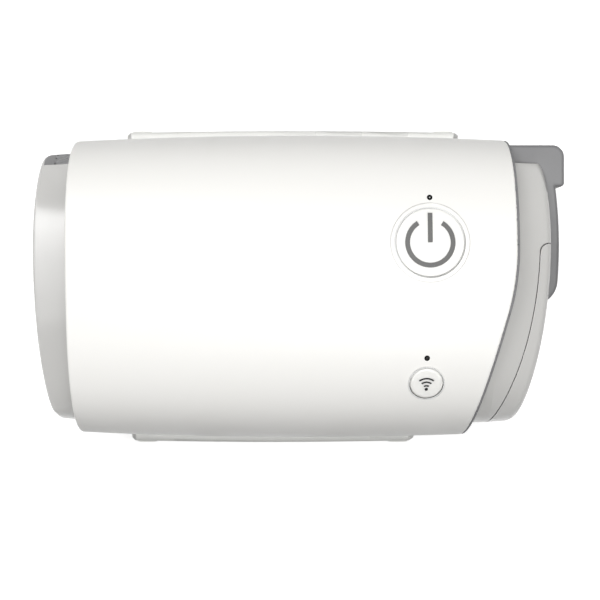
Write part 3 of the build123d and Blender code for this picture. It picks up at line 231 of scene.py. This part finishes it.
# Seal in the outlet's mouth, outlet hose, the four blower mounts and the foot pads: soft pieces
# moulded in silicone or elastomer, which take on no edge wear but hold a fine film of dust.
def soft_moulded(name, colour, dust_and_seam_shade, roughness, dust_mm, **constants):
    """Silicone or elastomer: a dull skin with a film of fine grime that clings to it in patches."""
    material, shader, place = new_material(name, **constants)
    film = add_node(
        material,
        "ShaderNodeTexNoise",
        {"Vector": place, "Scale": 1000 / dust_mm, "Detail": 5.0, "Roughness": 0.7},
    )
    skin_mm = 0.35
    skin = add_node(
        material,
        "ShaderNodeTexVoronoi",
        {"Vector": place, "Scale": 1000 / skin_mm},
        feature="SMOOTH_F1",
    )
    cover = add_node(
        material,
        "ShaderNodeMapRange",
        {
            "Value": film.outputs["Fac"],
            "From Min": 0.45, "From Max": 0.8,
            "To Min": 0.0, "To Max": 0.5,
        },
    )
    shade = add_node(
        material,
        "ShaderNodeMix",
        {0: cover.outputs["Result"], 6: linear(colour), 7: linear(dust_and_seam_shade)},
        data_type="RGBA",
    )
    dull = add_node(
        material,
        "ShaderNodeMath",
        {0: cover.outputs["Result"], 1: 0.25, 2: roughness},
        operation="MULTIPLY_ADD",
    )
    bump = add_node(
        material,
        "ShaderNodeBump",
        {"Height": skin.outputs["Distance"], "Strength": 1.0, "Distance": 0.000008},
    )
    link(material, shade.outputs[2], shader.inputs["Base Color"])
    link(material, dull.outputs["Value"], shader.inputs["Roughness"])
    link(material, bump.outputs["Normal"], shader.inputs["Normal"])
    return material


# liquid silicone rubber: near black, slightly greasy in its sheen
black_silicone = soft_moulded(
    "black_silicone", "#2a2a2c", "#6a6968",
    roughness=0.45, dust_mm=3, IOR=1.41,
)
finish_as(black_silicone, "outlet_seal")
# thermoplastic elastomer: off white, drier than the plastic beside it
foot_elastomer = soft_moulded(
    "foot_elastomer", "#e9e9e5", "#dddcd7",
    roughness=0.6, dust_mm=5, IOR=1.48,
)
finish_as(foot_elastomer, "foot_pads")
# clear silicone gone cloudy: lets light a little way into its edges
milky_silicone = soft_moulded(
    "milky_silicone", "#c3c6c8", "#dcdcda",
    roughness=0.4, dust_mm=4, IOR=1.41, Subsurface_Weight=0.3, Subsurface_Scale=0.002,
)
finish_as(milky_silicone, "blower_mounts", "outlet_hose")


# Sleeve shadow strip: a thin dark rubber strip on the sleeve's right end, a dark piece that stands
# in for the shade in the step down to the housing and shows as a fine line along the sleeve's edge.
def merged_form(node):
    """Bmesh of a CAD node, with its loose triangles joined."""
    form = bmesh.new()
    form.from_mesh(parts[node].data)
    bmesh.ops.remove_doubles(form, verts=form.verts, dist=1e-6)
    return form


def piece_of(name, form):
    """New object with a finished bmesh as its mesh."""
    mesh = bpy.data.meshes.new(name)
    form.to_mesh(mesh)
    form.free()
    piece = bpy.data.objects.new(name, mesh)
    bpy.context.scene.collection.objects.link(piece)
    return piece


def new_vertices(grown):
    """Vertices among what an extrusion made."""
    return [made for made in grown["geom"] if isinstance(made, bmesh.types.BMVert)]


shadow_strip_width = 0.0005
right_end = 0.038  # the sleeve's end faces lie past this X, on its slanted cut
end_slope = 0.7  # and face +X at least this much
shadow_strip_form = merged_form("outer_sleeve")
elsewhere = [
    face
    for face in shadow_strip_form.faces
    if face.calc_center_median().x <= right_end or face.normal.x <= end_slope
]
bmesh.ops.delete(shadow_strip_form, geom=elsewhere, context="FACES")
grown = bmesh.ops.extrude_face_region(shadow_strip_form, geom=shadow_strip_form.faces[:], use_keep_orig=True)
bmesh.ops.translate(shadow_strip_form, verts=new_vertices(grown), vec=(shadow_strip_width, 0, 0))
bmesh.ops.recalc_face_normals(shadow_strip_form, faces=shadow_strip_form.faces)
shadow_strip = piece_of("sleeve_shadow_strip", shadow_strip_form)
# painted shade: extruded rubber in dark grey, dry, standing in for the shadow at the sleeve's edge
shadow_strip_rubber = soft_moulded(
    "shadow_strip_rubber", "#7b7b7d", "#89898a",
    roughness=0.65, dust_mm=4, IOR=1.5,
)
shadow_strip.data.materials.append(shadow_strip_rubber)
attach(shadow_strip, "machine")


# Base plate: a shallow white ABS tray screwed on from below, its rails standing out past the
# sleeve. Its mould had a coarser blast than the sleeve's, so that it doesn't show scratches.
# blasted ABS: white with a fine even tooth, dull beside the sleeve
textured_abs = moulded(
    "white_abs_blasted", "#fafaf7", "#f7f7f3", "#fcfcfa",
    roughness=0.5, grain_mm=0.35, relief_mm=0.014, IOR=1.53,
)
finish_as(textured_abs, "base_plate")


# Buttons: two-shot caps of the sleeve's own white, the symbols moulded through in a second colour
# so that they can't rub off. Fingers keep the caps a little glossier than the sleeve.
# handled polycarbonate blend: the same white, a little translucent, with a tighter highlight
button_white = moulded(
    "white_polycarbonate_handled", "#f9f8f4", "#f6f5f0", "#fcfcfa",
    roughness=0.34, grain_mm=0.5, relief_mm=0.004, seam_shade=0, IOR=1.57, Subsurface_Weight=0.5,
    Subsurface_Scale=0.001, Subsurface_Radius=(1, 1, 1),
)
finish_as(button_white, "start_button", "pairing_button")
# second shot of the start button: flat mid grey
symbol_grey = moulded(
    "grey_polycarbonate_inlay", "#6b6b6a", "#666665", "#717170",
    roughness=0.5, grain_mm=0.4, relief_mm=0.004, IOR=1.57, Specular_IOR_Level=0.25,
)
finish_as(symbol_grey, "start_symbol")
# second shot of the pairing button: flat charcoal
symbol_dark = moulded(
    "charcoal_polycarbonate_inlay", "#111112", "#0d0d0e", "#1b1b1c",
    roughness=0.5, grain_mm=0.4, relief_mm=0.004, IOR=1.57, Specular_IOR_Level=0.25,
)
finish_as(symbol_dark, "pairing_symbol")


# Dust seals: moulded lips of light grey elastomer, glued into the gaps round the buttons, clear of
# the moving caps. They lie level with the sleeve at the back left and sink towards the front
# right, so that water wiped off the face runs out of the gap.
def gap_lip(name, face, away, hole_radius, cap_radius, sunk, lean):
    """Flat ring round a cap, below the sleeve's rim by sunk, more or less by lean.

    face is the middle of the cap's face, and away the way that the cap comes out.
    """
    thickness = 0.0003
    on_rim = 0.00005  # how far past the hole's edge the sleeve's height is read
    far_above = 0.01
    front_right = Vector((1, -1, 0)).normalized()
    turn = away.to_track_quat("Z", "Y")
    form = bmesh.new()
    bmesh.ops.create_circle(form, radius=cap_radius, segments=96)
    grown = bmesh.ops.extrude_edge_only(form, edges=form.edges[:])
    spread = Vector((1, 1, 1)) * hole_radius / cap_radius
    bmesh.ops.scale(form, verts=new_vertices(grown), vec=spread)
    for vertex in form.verts:
        outwards = turn @ vertex.co.normalized()
        beyond = face + outwards * (hole_radius + on_rim) + away * far_above
        _, rim, _, _ = parts["outer_sleeve"].ray_cast(beyond, -away)
        depth = sunk * (1 + lean * outwards.dot(front_right))
        vertex.co = face + turn @ vertex.co
        vertex.co += away * ((rim - vertex.co).dot(away) - depth)
    bmesh.ops.solidify(form, geom=form.faces[:], thickness=thickness)
    bmesh.ops.recalc_face_normals(form, faces=form.faces)
    lip = piece_of(name, form)
    lip.data.materials.append(lip_elastomer)
    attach(lip, "machine")


# the same elastomer as the feet, a light grey
lip_elastomer = soft_moulded(
    "lip_elastomer", "#e8e9e8", "#e4e4e2",
    roughness=0.6, dust_mm=3, IOR=1.48,
)
gap_lip(
    "start_dust_seal",
    face=Vector((0.0318, 0.0107, 0.0512)),
    away=Vector((0, 0, 1)),
    hole_radius=0.00863,
    cap_radius=0.0084,
    sunk=0.0006,
    lean=0.97,
)
# the pairing button's way in follows the slope of the face
gap_lip(
    "pairing_dust_seal",
    face=Vector((0.0311, -0.0238, 0.04827)),
    away=Vector((0, -0.382119, 0.924113)),
    hole_radius=0.00443,
    cap_radius=0.0042,
    sunk=0.0001,
    lean=0.9,
)


# Status lights: black rings pressed into the sleeve, frosted light pipes through them, and the
# lamps that shine up the pipes from the board.
# black acetal: deep and slightly waxy
ring_black = moulded(
    "black_acetal", "#060607", "#0a0a0b", "#161617",
    roughness=0.5, grain_mm=0.3, relief_mm=0.004, IOR=1.48, Specular_IOR_Level=0.05,
)
finish_as(ring_black, "light_rings")


def frosted_pipe():
    """Smoked polycarbonate with a frosted tip, and a painted highlight as a pale dot in the power
    light.
    """
    material, shader, place = new_material(
        "polycarbonate_smoked", IOR=1.585, Transmission_Weight=0.2, Specular_IOR_Level=0.1
    )
    frost_mm = 0.15
    frost = add_node(
        material,
        "ShaderNodeTexNoise",
        {"Vector": place, "Scale": 1000 / frost_mm, "Detail": 3.0},
    )
    pale = add_node(
        material,
        "ShaderNodeMix",
        {0: frost.outputs["Fac"], 6: linear("#c9cccc"), 7: linear("#e2e5e4")},
        data_type="RGBA",
    )
    # painted highlight: only a tiny dot at the middle of the power light's guide is pale; the rest
    # is smoked
    power_light = Vector((0.0318, 0.0217, 0))
    glint_mm = 0.14
    across = add_node(
        material, "ShaderNodeVectorMath", {0: place, 1: (1, 1, 0)}, operation="MULTIPLY"
    )
    apart = add_node(
        material,
        "ShaderNodeVectorMath",
        {0: across.outputs[0], 1: power_light},
        operation="DISTANCE",
    )
    painted_glint = add_node(
        material,
        "ShaderNodeMath",
        {0: apart.outputs["Value"], 1: glint_mm / 1000},
        operation="LESS_THAN",
    )
    shade = add_node(
        material,
        "ShaderNodeMix",
        {0: painted_glint.outputs[0], 6: linear("#0b0b0c"), 7: pale.outputs[2]},
        data_type="RGBA",
    )
    dull = add_node(
        material,
        "ShaderNodeMapRange",
        {
            "Value": frost.outputs["Fac"],
            "From Min": 0.3, "From Max": 0.7,
            "To Min": 0.25, "To Max": 0.5,
        },
    )
    bump = add_node(
        material,
        "ShaderNodeBump",
        {"Height": frost.outputs["Fac"], "Strength": 1.0, "Distance": 0.00001},
    )
    link(material, shade.outputs[2], shader.inputs["Base Color"])
    link(material, dull.outputs["Result"], shader.inputs["Roughness"])
    link(material, bump.outputs["Normal"], shader.inputs["Normal"])
    return material


finish_as(frosted_pipe(), "light_guides")
# white lamp package under yellow phosphor
lamp_phosphor = moulded(
    "lamp_phosphor_silicone", "#e7dc9a", "#dccb6e", "#efe9c4",
    roughness=0.35, grain_mm=0.2, relief_mm=0.006, IOR=1.41,
)
finish_as(lamp_phosphor, "lamps")


# Filter cover's inside: a pad of needled polyester fibre, heat-pressed thin round its rim and at
# rows of weld spots, behind a moulded frame with three bars that snaps over it.
# natural polypropylene: a waxy light grey
frame_polypropylene = moulded(
    "grey_polypropylene", "#b4b5b4", "#acadac", "#c4c5c4",
    roughness=0.42, grain_mm=0.5, relief_mm=0.01, IOR=1.49,
)
finish_as(frame_polypropylene, "filter_frame")


def settle(obj):
    """Apply an object's modifiers to its mesh."""
    shaped = bpy.data.meshes.new_from_object(
        obj.evaluated_get(bpy.context.evaluated_depsgraph_get())
    )
    obj.modifiers.clear()
    obj.data = shaped
    obj.data.name = obj.name
    for face in obj.data.polygons:
        face.use_smooth = True


def remeshed(name, node, voxel):
    """New object: an even skin of small square faces over a CAD node's form."""
    obj = piece_of(name, merged_form(node))
    skin = obj.modifiers.new("skin", "REMESH")
    skin.mode = "VOXEL"
    skin.voxel_size = voxel
    settle(obj)
    return obj


def lumpy(obj, kind, size, depth):
    """Sink an object's skin by a procedural pattern, never outwards."""
    pattern = bpy.data.textures.new(obj.name, kind)
    pattern.noise_scale = size
    sink = obj.modifiers.new("sink", "DISPLACE")
    sink.texture = pattern
    sink.mid_level = 0.0
    sink.strength = -depth
    settle(obj)


def felt():
    """Needled polyester felt: white fibres that cross each way, softly shaded between them."""
    material, shader, place = new_material(
        "polyester_felt", Roughness=0.95, Sheen_Weight=0.4, Sheen_Roughness=0.6
    )
    # the real fibres are 0.03 mm thick; drawn at 0.15 mm so that they show
    fibre_mm = 0.15
    heights = []
    for stretch in ((1, 1, 0.12), (1, 0.12, 1)):
        laid = add_node(material, "ShaderNodeMapping", {"Vector": place, "Scale": stretch})
        fibre = add_node(
            material,
            "ShaderNodeTexNoise",
            {
                "Vector": laid.outputs[0],
                "Scale": 1000 / fibre_mm,
                "Detail": 2.0,
                "Distortion": 1.5,
            },
        )
        heights.append(fibre.outputs["Fac"])
    crossed = add_node(
        material, "ShaderNodeMath", {0: heights[0], 1: heights[1]}, operation="MAXIMUM"
    )
    contrast = add_node(
        material,
        "ShaderNodeMapRange",
        {
            "Value": crossed.outputs["Value"],
            "From Min": 0.4, "From Max": 0.75,
            "To Min": 0.0, "To Max": 1.0,
        },
    )
    shade = add_node(
        material,
        "ShaderNodeMix",
        {0: contrast.outputs["Result"], 6: linear("#b9bdc1"), 7: linear("#f1f3f4")},
        data_type="RGBA",
    )
    bump = add_node(
        material,
        "ShaderNodeBump",
        {"Height": crossed.outputs["Value"], "Strength": 1.0, "Distance": 0.0002},
    )
    link(material, shade.outputs[2], shader.inputs["Base Color"])
    link(material, bump.outputs["Normal"], shader.inputs["Normal"])
    return material


pad_low, pad_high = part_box("filter_pad")
pad_middle = (pad_low + pad_high) / 2
pad_reach = (pad_high - pad_low) / 2
pad_rim = 0.0045  # width of the pressed rim
pad_rim_share = 0.35  # thickness left there
pad_slope = 0.4  # share of the rim's width over which the pad swells to full thickness
weld_pitch = 0.009
weld_radius = 0.0014
weld_press = 0.7  # share of the swelling that a weld spot takes away
pad = remeshed("filter_pad_felt", "filter_pad", voxel=0.0006)
for vertex in pad.data.vertices:
    across = (vertex.co.y - pad_middle.y) / pad_reach.y
    up = (vertex.co.z - pad_middle.z) / pad_reach.z
    inside = (1 - (abs(across) ** 3 + abs(up) ** 3) ** (1 / 3)) * pad_reach.z
    rim = min(max((inside - pad_rim * (1 - pad_slope)) / (pad_rim * pad_slope), 0), 1)
    rim = rim * rim * (3 - 2 * rim)
    off_y = (vertex.co.y / weld_pitch + 0.5) % 1 - 0.5
    off_z = ((vertex.co.z - pad_middle.z) / weld_pitch + 0.5) % 1 - 0.5
    weld = math.exp(-((math.hypot(off_y, off_z) * weld_pitch / weld_radius) ** 2))
    share = pad_rim_share + (1 - pad_rim_share) * rim * (1 - weld_press * weld)
    vertex.co.x = pad_high.x + (vertex.co.x - pad_high.x) * share
lumpy(pad, "CLOUDS", size=0.0015, depth=0.0002)
pad.data.materials.append(felt())
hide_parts("filter_pad")
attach(pad, "filter_door")


# Inlet muffler: a die-cut block of open-cell polyurethane foam with the air passage through it. It
# sits behind the bulkhead, so it shows only with the filter cover off.
def open_foam():
    """Polyurethane foam: charcoal, with open pores that swallow light and pale strut edges."""
    material, shader, place = new_material("polyurethane_foam", Roughness=0.95)
    # 60 pores to the inch are 0.4 mm apart; drawn at 0.8 mm so that they show
    pore_mm = 0.8
    cell = add_node(
        material,
        "ShaderNodeTexVoronoi",
        {"Vector": place, "Scale": 1000 / pore_mm},
        feature="DISTANCE_TO_EDGE",
    )
    strut = add_node(
        material,
        "ShaderNodeMapRange",
        {
            "Value": cell.outputs["Distance"],
            "From Min": 0.03, "From Max": 0.16,
            "To Min": 1.0, "To Max": 0.0,
        },
    )
    shade = add_node(
        material,
        "ShaderNodeMix",
        {0: strut.outputs["Result"], 6: linear("#141416"), 7: linear("#4c4d50")},
        data_type="RGBA",
    )
    bump = add_node(
        material,
        "ShaderNodeBump",
        {"Height": strut.outputs["Result"], "Strength": 1.0, "Distance": 0.0003},
    )
    link(material, shade.outputs[2], shader.inputs["Base Color"])
    link(material, bump.outputs["Normal"], shader.inputs["Normal"])
    return material


muffler = remeshed("inlet_muffler_foam", "inlet_foam", voxel=0.0007)
lumpy(muffler, "VORONOI", size=0.0016, depth=0.0005)
muffler.data.materials.append(open_foam())
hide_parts("inlet_foam")
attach(muffler, "machine")


# Low voltage inlet: a black moulded socket set in the end panel, with a plated centre pin and two
# tinned solder contacts at its back.
# polybutylene: black with a dry, even skin
socket_black = moulded(
    "black_polybutylene", "#1b1b1d", "#202022", "#3a3a3c",
    roughness=0.5, grain_mm=0.35, relief_mm=0.01, IOR=1.55,
)
finish_as(socket_black, "dc_inlet")


def worked_metal(name, colour, tarnish, roughness, streak_mm, along):
    """Metal: fine streaks along the way it was drawn or turned, and a breath of tarnish."""
    material, shader, place = new_material(name, Metallic=1.0)
    squeeze = 0.04  # makes a streak 25 times as long as it is wide
    laid = add_node(
        material,
        "ShaderNodeMapping",
        {"Vector": place, "Scale": [squeeze if axis == along else 1 for axis in "XYZ"]},
    )
    streak = add_node(
        material,
        "ShaderNodeTexNoise",
        {"Vector": laid.outputs[0], "Scale": 1000 / streak_mm, "Detail": 3.0},
    )
    patch_mm = 2.5
    patch = add_node(
        material,
        "ShaderNodeTexNoise",
        {"Vector": place, "Scale": 1000 / patch_mm, "Detail": 4.0},
    )
    cover = add_node(
        material,
        "ShaderNodeMapRange",
        {
            "Value": patch.outputs["Fac"],
            "From Min": 0.45, "From Max": 0.75,
            "To Min": 0.0, "To Max": 0.8,
        },
    )
    shade = add_node(
        material,
        "ShaderNodeMix",
        {0: cover.outputs["Result"], 6: linear(colour), 7: linear(tarnish)},
        data_type="RGBA",
    )
    dull = add_node(
        material,
        "ShaderNodeMapRange",
        {
            "Value": streak.outputs["Fac"],
            "From Min": 0.3, "From Max": 0.7,
            "To Min": roughness - 0.07, "To Max": roughness + 0.1,
        },
    )
    bump = add_node(
        material,
        "ShaderNodeBump",
        {"Height": streak.outputs["Fac"], "Strength": 1.0, "Distance": 0.000006},
    )
    link(material, shade.outputs[2], shader.inputs["Base Color"])
    link(material, dull.outputs["Result"], shader.inputs["Roughness"])
    link(material, bump.outputs["Normal"], shader.inputs["Normal"])
    return material


# nickel-plated brass: bright and faintly yellow
plated_brass = worked_metal(
    "brass_nickel_plated", "#d8d3c6", "#b3a98f",
    roughness=0.22, streak_mm=0.15, along="X",
)
finish_as(plated_brass, "dc_centre_pin", "dc_contacts")


# Screws: small socket-head screws, cold-headed and zinc plated, seen from below in the base's
# recesses; the others are inside.
# zinc plate: a bluish grey that dulls in patches
zinc_plate = worked_metal(
    "steel_zinc_plated", "#c4c8cc", "#9a9ea3",
    roughness=0.35, streak_mm=0.12, along="Z",
)
finish_as(zinc_plate, "base_screws", "housing_screws", "board_screws")


# Circuit board: glass-epoxy laminate under green solder mask, hung from the front housing, with its
# tracks showing as slightly paler, raised lines.
def solder_mask():
    """Green solder mask: glossy, paler over the copper tracks, with tinned via holes."""
    material, shader, place = new_material("solder_mask_green", IOR=1.5)
    track_mm = 1.2
    layers = []
    for turn in (0, math.pi / 2):
        laid = add_node(material, "ShaderNodeMapping", {"Vector": place, "Rotation": (0, 0, turn)})
        tracks = add_node(
            material,
            "ShaderNodeTexBrick",
            {
                "Vector": laid.outputs[0],
                "Scale": 1000 / track_mm,
                "Mortar Size": 0.12,
                "Brick Width": 9.0,
                "Row Height": 0.6,
                "Bias": 0.0,
            },
        )
        layers.append(tracks.outputs["Fac"])
    district_mm = 11
    district = add_node(
        material,
        "ShaderNodeTexNoise",
        {"Vector": place, "Scale": 1000 / district_mm, "Detail": 0.0},
    )
    side = add_node(
        material, "ShaderNodeMath", {0: district.outputs["Fac"], 1: 0.5}, operation="GREATER_THAN"
    )
    copper = add_node(
        material, "ShaderNodeMix", {0: side.outputs["Value"], 2: layers[0], 3: layers[1]}
    )
    via_mm = 2.6  # from one via to the next
    via_share = 0.13  # radius of its tinned ring, as a share of that
    via = add_node(
        material,
        "ShaderNodeTexVoronoi",
        {"Vector": place, "Scale": 1000 / via_mm, "Randomness": 0.4},
    )
    dot = add_node(
        material,
        "ShaderNodeMath",
        {0: via.outputs["Distance"], 1: via_share},
        operation="LESS_THAN",
    )
    mask = add_node(
        material,
        "ShaderNodeMix",
        {0: copper.outputs[0], 6: linear("#12552c"), 7: linear("#2c7d45")},
        data_type="RGBA",
    )
    shade = add_node(
        material,
        "ShaderNodeMix",
        {0: dot.outputs["Value"], 6: mask.outputs[2], 7: linear("#c9ccc8")},
        data_type="RGBA",
    )
    dull = add_node(
        material,
        "ShaderNodeMapRange",
        {
            "Value": district.outputs["Fac"],
            "From Min": 0.3, "From Max": 0.7,
            "To Min": 0.22, "To Max": 0.34,
        },
    )
    bump = add_node(
        material,
        "ShaderNodeBump",
        {"Height": copper.outputs[0], "Strength": 1.0, "Distance": 0.00003},
    )
    link(material, shade.outputs[2], shader.inputs["Base Color"])
    link(material, dull.outputs["Result"], shader.inputs["Roughness"])
    link(material, bump.outputs["Normal"], shader.inputs["Normal"])
    return material


finish_as(solder_mask(), "main_board")
# epoxy moulding compound: black, dry, finely stippled
chip_epoxy = moulded(
    "epoxy_moulding", "#1c1d1f", "#232426", "#303133",
    roughness=0.55, grain_mm=0.25, relief_mm=0.01, IOR=1.55,
)
finish_as(chip_epoxy, "board_chips", "flow_sensor")
# tin-plated steel can over the radio
tin_can = worked_metal(
    "steel_tin_plated", "#cfd1d2", "#aeb1b3",
    roughness=0.28, streak_mm=0.2, along="X",
)
finish_as(tin_can, "wireless_module")
# drawn aluminium cans of the capacitors
can_aluminium = worked_metal(
    "aluminium_drawn", "#d2d4d6", "#bcbfc2",
    roughness=0.25, streak_mm=0.1, along="Z",
)
finish_as(can_aluminium, "capacitors")
# nylon connector: ivory, slightly translucent
ivory_nylon = moulded(
    "ivory_nylon", "#e9e4d4", "#e2dcc8", "#f0ecdf",
    roughness=0.4, grain_mm=0.4, relief_mm=0.008, IOR=1.53,
)
finish_as(ivory_nylon, "board_connector")
# glass-filled nylon switch bodies, and acetal plungers
switch_nylon = moulded(
    "black_nylon_filled", "#1a1a1b", "#212122", "#343435",
    roughness=0.5, grain_mm=0.3, relief_mm=0.01,
)
finish_as(switch_nylon, "start_switch", "pairing_switch")
white_acetal = moulded(
    "white_acetal", "#eceae4", "#e6e3db", "#f2f0eb",
    roughness=0.35, grain_mm=0.3, relief_mm=0.005, IOR=1.48,
)
finish_as(white_acetal, "start_plunger", "pairing_plunger")


# Blower: a snail-shell housing in two halves of grey polycarbonate, and a natural polybutylene
# impeller, balanced and kept smooth for the air.
# polycarbonate blend: blue grey with a slight sheen
blower_grey = moulded(
    "blue_grey_polycarbonate", "#9ea3a9", "#979ca2", "#b0b4b9",
    roughness=0.38, grain_mm=0.45, relief_mm=0.008, IOR=1.57,
)
finish_as(blower_grey, "blower_housing", "blower_cover")
# natural polybutylene: creamy white
natural_plastic = moulded(
    "natural_polybutylene", "#ebe9e0", "#e4e1d6", "#f1f0e9",
    roughness=0.33, grain_mm=0.5, relief_mm=0.004, IOR=1.55,
)
finish_as(natural_plastic, "impeller")


# Motor: a laminated stator pressed into the blower, enamelled copper coils wound on its arms, a
# drawn rotor cup, and a ground shaft that runs in two bearing rings.
# laminated electrical steel: dark, with the edges of its sheets as fine rings
lamination = worked_metal(
    "steel_laminated", "#85888c", "#6c6f73",
    roughness=0.4, streak_mm=0.35, along="X",
)
finish_as(lamination, "motor_stator")
# zinc-plated drawn steel cup
drawn_cup = worked_metal(
    "steel_drawn", "#a9acb0", "#8e9195",
    roughness=0.32, streak_mm=0.2, along="Z",
)
finish_as(drawn_cup, "motor_rotor")
# ground bearing steel: bright, with lines round its axis
ground_steel = worked_metal(
    "steel_ground", "#d3d5d8", "#c0c2c5",
    roughness=0.16, streak_mm=0.08, along="Z",
)
finish_as(ground_steel, "motor_shaft", "lower_bearing", "upper_bearing")


def wound_wire():
    """Enamelled copper wire: close turns round the arms, with painted shade, a dark brown, in the
    grooves between them.
    """
    material, shader, place = new_material("copper_enamelled", Metallic=1.0)
    rotor_low, rotor_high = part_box("motor_rotor")
    centred = add_node(
        material,
        "ShaderNodeMapping",
        {"Vector": place, "Location": -(rotor_low + rotor_high) / 2},
    )
    wire_mm = 0.28
    turns = add_node(
        material,
        "ShaderNodeTexWave",
        # a wave node draws one ring every 0.314 of its own units
        {"Vector": centred.outputs[0], "Scale": 314 / wire_mm, "Distortion": 0.3},
        wave_type="RINGS",
        rings_direction="Z",
    )
    # painted shade: each turn runs from copper at its crest to dark brown in the groove beside it
    shade = add_node(
        material,
        "ShaderNodeMix",
        {0: turns.outputs["Fac"], 6: linear("#6b2f14"), 7: linear("#d98a4e")},
        data_type="RGBA",
    )
    dull = add_node(
        material,
        "ShaderNodeMapRange",
        {
            "Value": turns.outputs["Fac"],
            "From Min": 0.0, "From Max": 1.0,
            "To Min": 0.5, "To Max": 0.25,
        },
    )
    bump = add_node(
        material,
        "ShaderNodeBump",
        {"Height": turns.outputs["Fac"], "Strength": 1.0, "Distance": wire_mm / 3000},
    )
    link(material, shade.outputs[2], shader.inputs["Base Color"])
    link(material, dull.outputs["Result"], shader.inputs["Roughness"])
    link(material, bump.outputs["Normal"], shader.inputs["Normal"])
    return material


finish_as(wound_wire(), "motor_coils")


# Studio: a white table whose left edge is near the machine, a key softbox at the upper left, a
# broad fill overhead, low ones beyond the table's edge that draw the band on the sloped end, and
# white all round.
table_reach = 0.7
left_edge = -0.16
table_form = bmesh.new()
bmesh.ops.create_grid(table_form, x_segments=1, y_segments=1, size=table_reach)
bmesh.ops.translate(table_form, verts=table_form.verts, vec=(table_reach + left_edge, 0, 0))
table = piece_of("table", table_form)


def seen_directly(owner):
    """1 for rays that carry a picture of the surroundings, 0 for the light they cast."""
    path = add_node(owner, "ShaderNodeLightPath", {})
    total = path.outputs["Is Camera Ray"]
    for name in ("Is Glossy Ray", "Is Transmission Ray"):
        either = add_node(
            owner, "ShaderNodeMath", {0: total, 1: path.outputs[name]}, operation="MAXIMUM"
        )
        total = either.outputs["Value"]
    return total


# white laminate: seen as white, but grey in the light that it throws back on the machine
table_white = bpy.data.materials.new("table_white_laminate")
table_white.use_nodes = True
laminate = table_white.node_tree.nodes["Principled BSDF"]
laminate.inputs["Roughness"].default_value = 0.9
laminate.inputs["Emission Color"].default_value = linear("#ffffff")
glow = seen_directly(table_white)
cast = add_node(
    table_white,
    "ShaderNodeMix",
    {0: glow, 6: linear("#5c5c5c"), 7: linear("#e6e6e5")},
    data_type="RGBA",
)
lift = add_node(table_white, "ShaderNodeMath", {0: glow, 1: 0.6}, operation="MULTIPLY")
link(table_white, cast.outputs[2], laminate.inputs["Base Color"])
link(table_white, lift.outputs["Value"], laminate.inputs["Emission Strength"])
table.data.materials.append(table_white)

world = bpy.data.worlds.new("white_surroundings")
world.use_nodes = True
bpy.context.scene.world = world
room = world.node_tree.nodes["Background"]
room.inputs["Color"].default_value = linear("#ffffff")
room_light = add_node(
    world, "ShaderNodeMapRange", {"Value": seen_directly(world), "To Min": 0.04, "To Max": 1.0}
)
link(world, room_light.outputs["Result"], room.inputs["Strength"])


def softbox(name, place, width, height, radiance):
    """Rectangular softbox that faces the machine, as bright as radiance says."""
    light = bpy.data.lights.new(name, "AREA")
    light.shape = "RECTANGLE"
    light.size, light.size_y = width, height
    light.energy = radiance * math.pi * width * height
    lamp = bpy.data.objects.new(name, light)
    lamp.location = place
    lamp.rotation_euler = Vector(place).to_track_quat("Z", "Y").to_euler()
    bpy.context.scene.collection.objects.link(lamp)


softbox("key_softbox", (-0.45, 0.45, 1.05), width=0.5, height=0.5, radiance=7.6)
softbox("fill_softbox", (0.2, 0.0, 1.2), width=0.9, height=0.9, radiance=4.45)
# scrims of four lengths with one back edge, so that the band fades towards the front
scrim_x, scrim_back, scrim_z = -0.51, 0.147, -0.058
scrim_height = 0.133
for length in (0.067, 0.102, 0.142, 0.182):
    place = (scrim_x, scrim_back - length / 2, scrim_z)
    softbox("left_scrim", place, width=length, height=scrim_height, radiance=1.4)


# Camera: straight above the machine at arm's length, on a portrait lens, whose shift frames the
# machine without tilting the camera.
camera_height = 0.430
frame_px = 600
camera = bpy.data.cameras.new("camera")
camera.sensor_width = 36.0
camera.lens = 93.9
camera.shift_x = 1 / frame_px
camera.shift_y = -13.5 / frame_px
camera_stand = bpy.data.objects.new("camera", camera)
camera_stand.location = (0, 0, camera_height)
bpy.context.scene.collection.objects.link(camera_stand)
bpy.context.scene.camera = camera_stand
bpy.context.scene.view_settings.view_transform = "Standard"
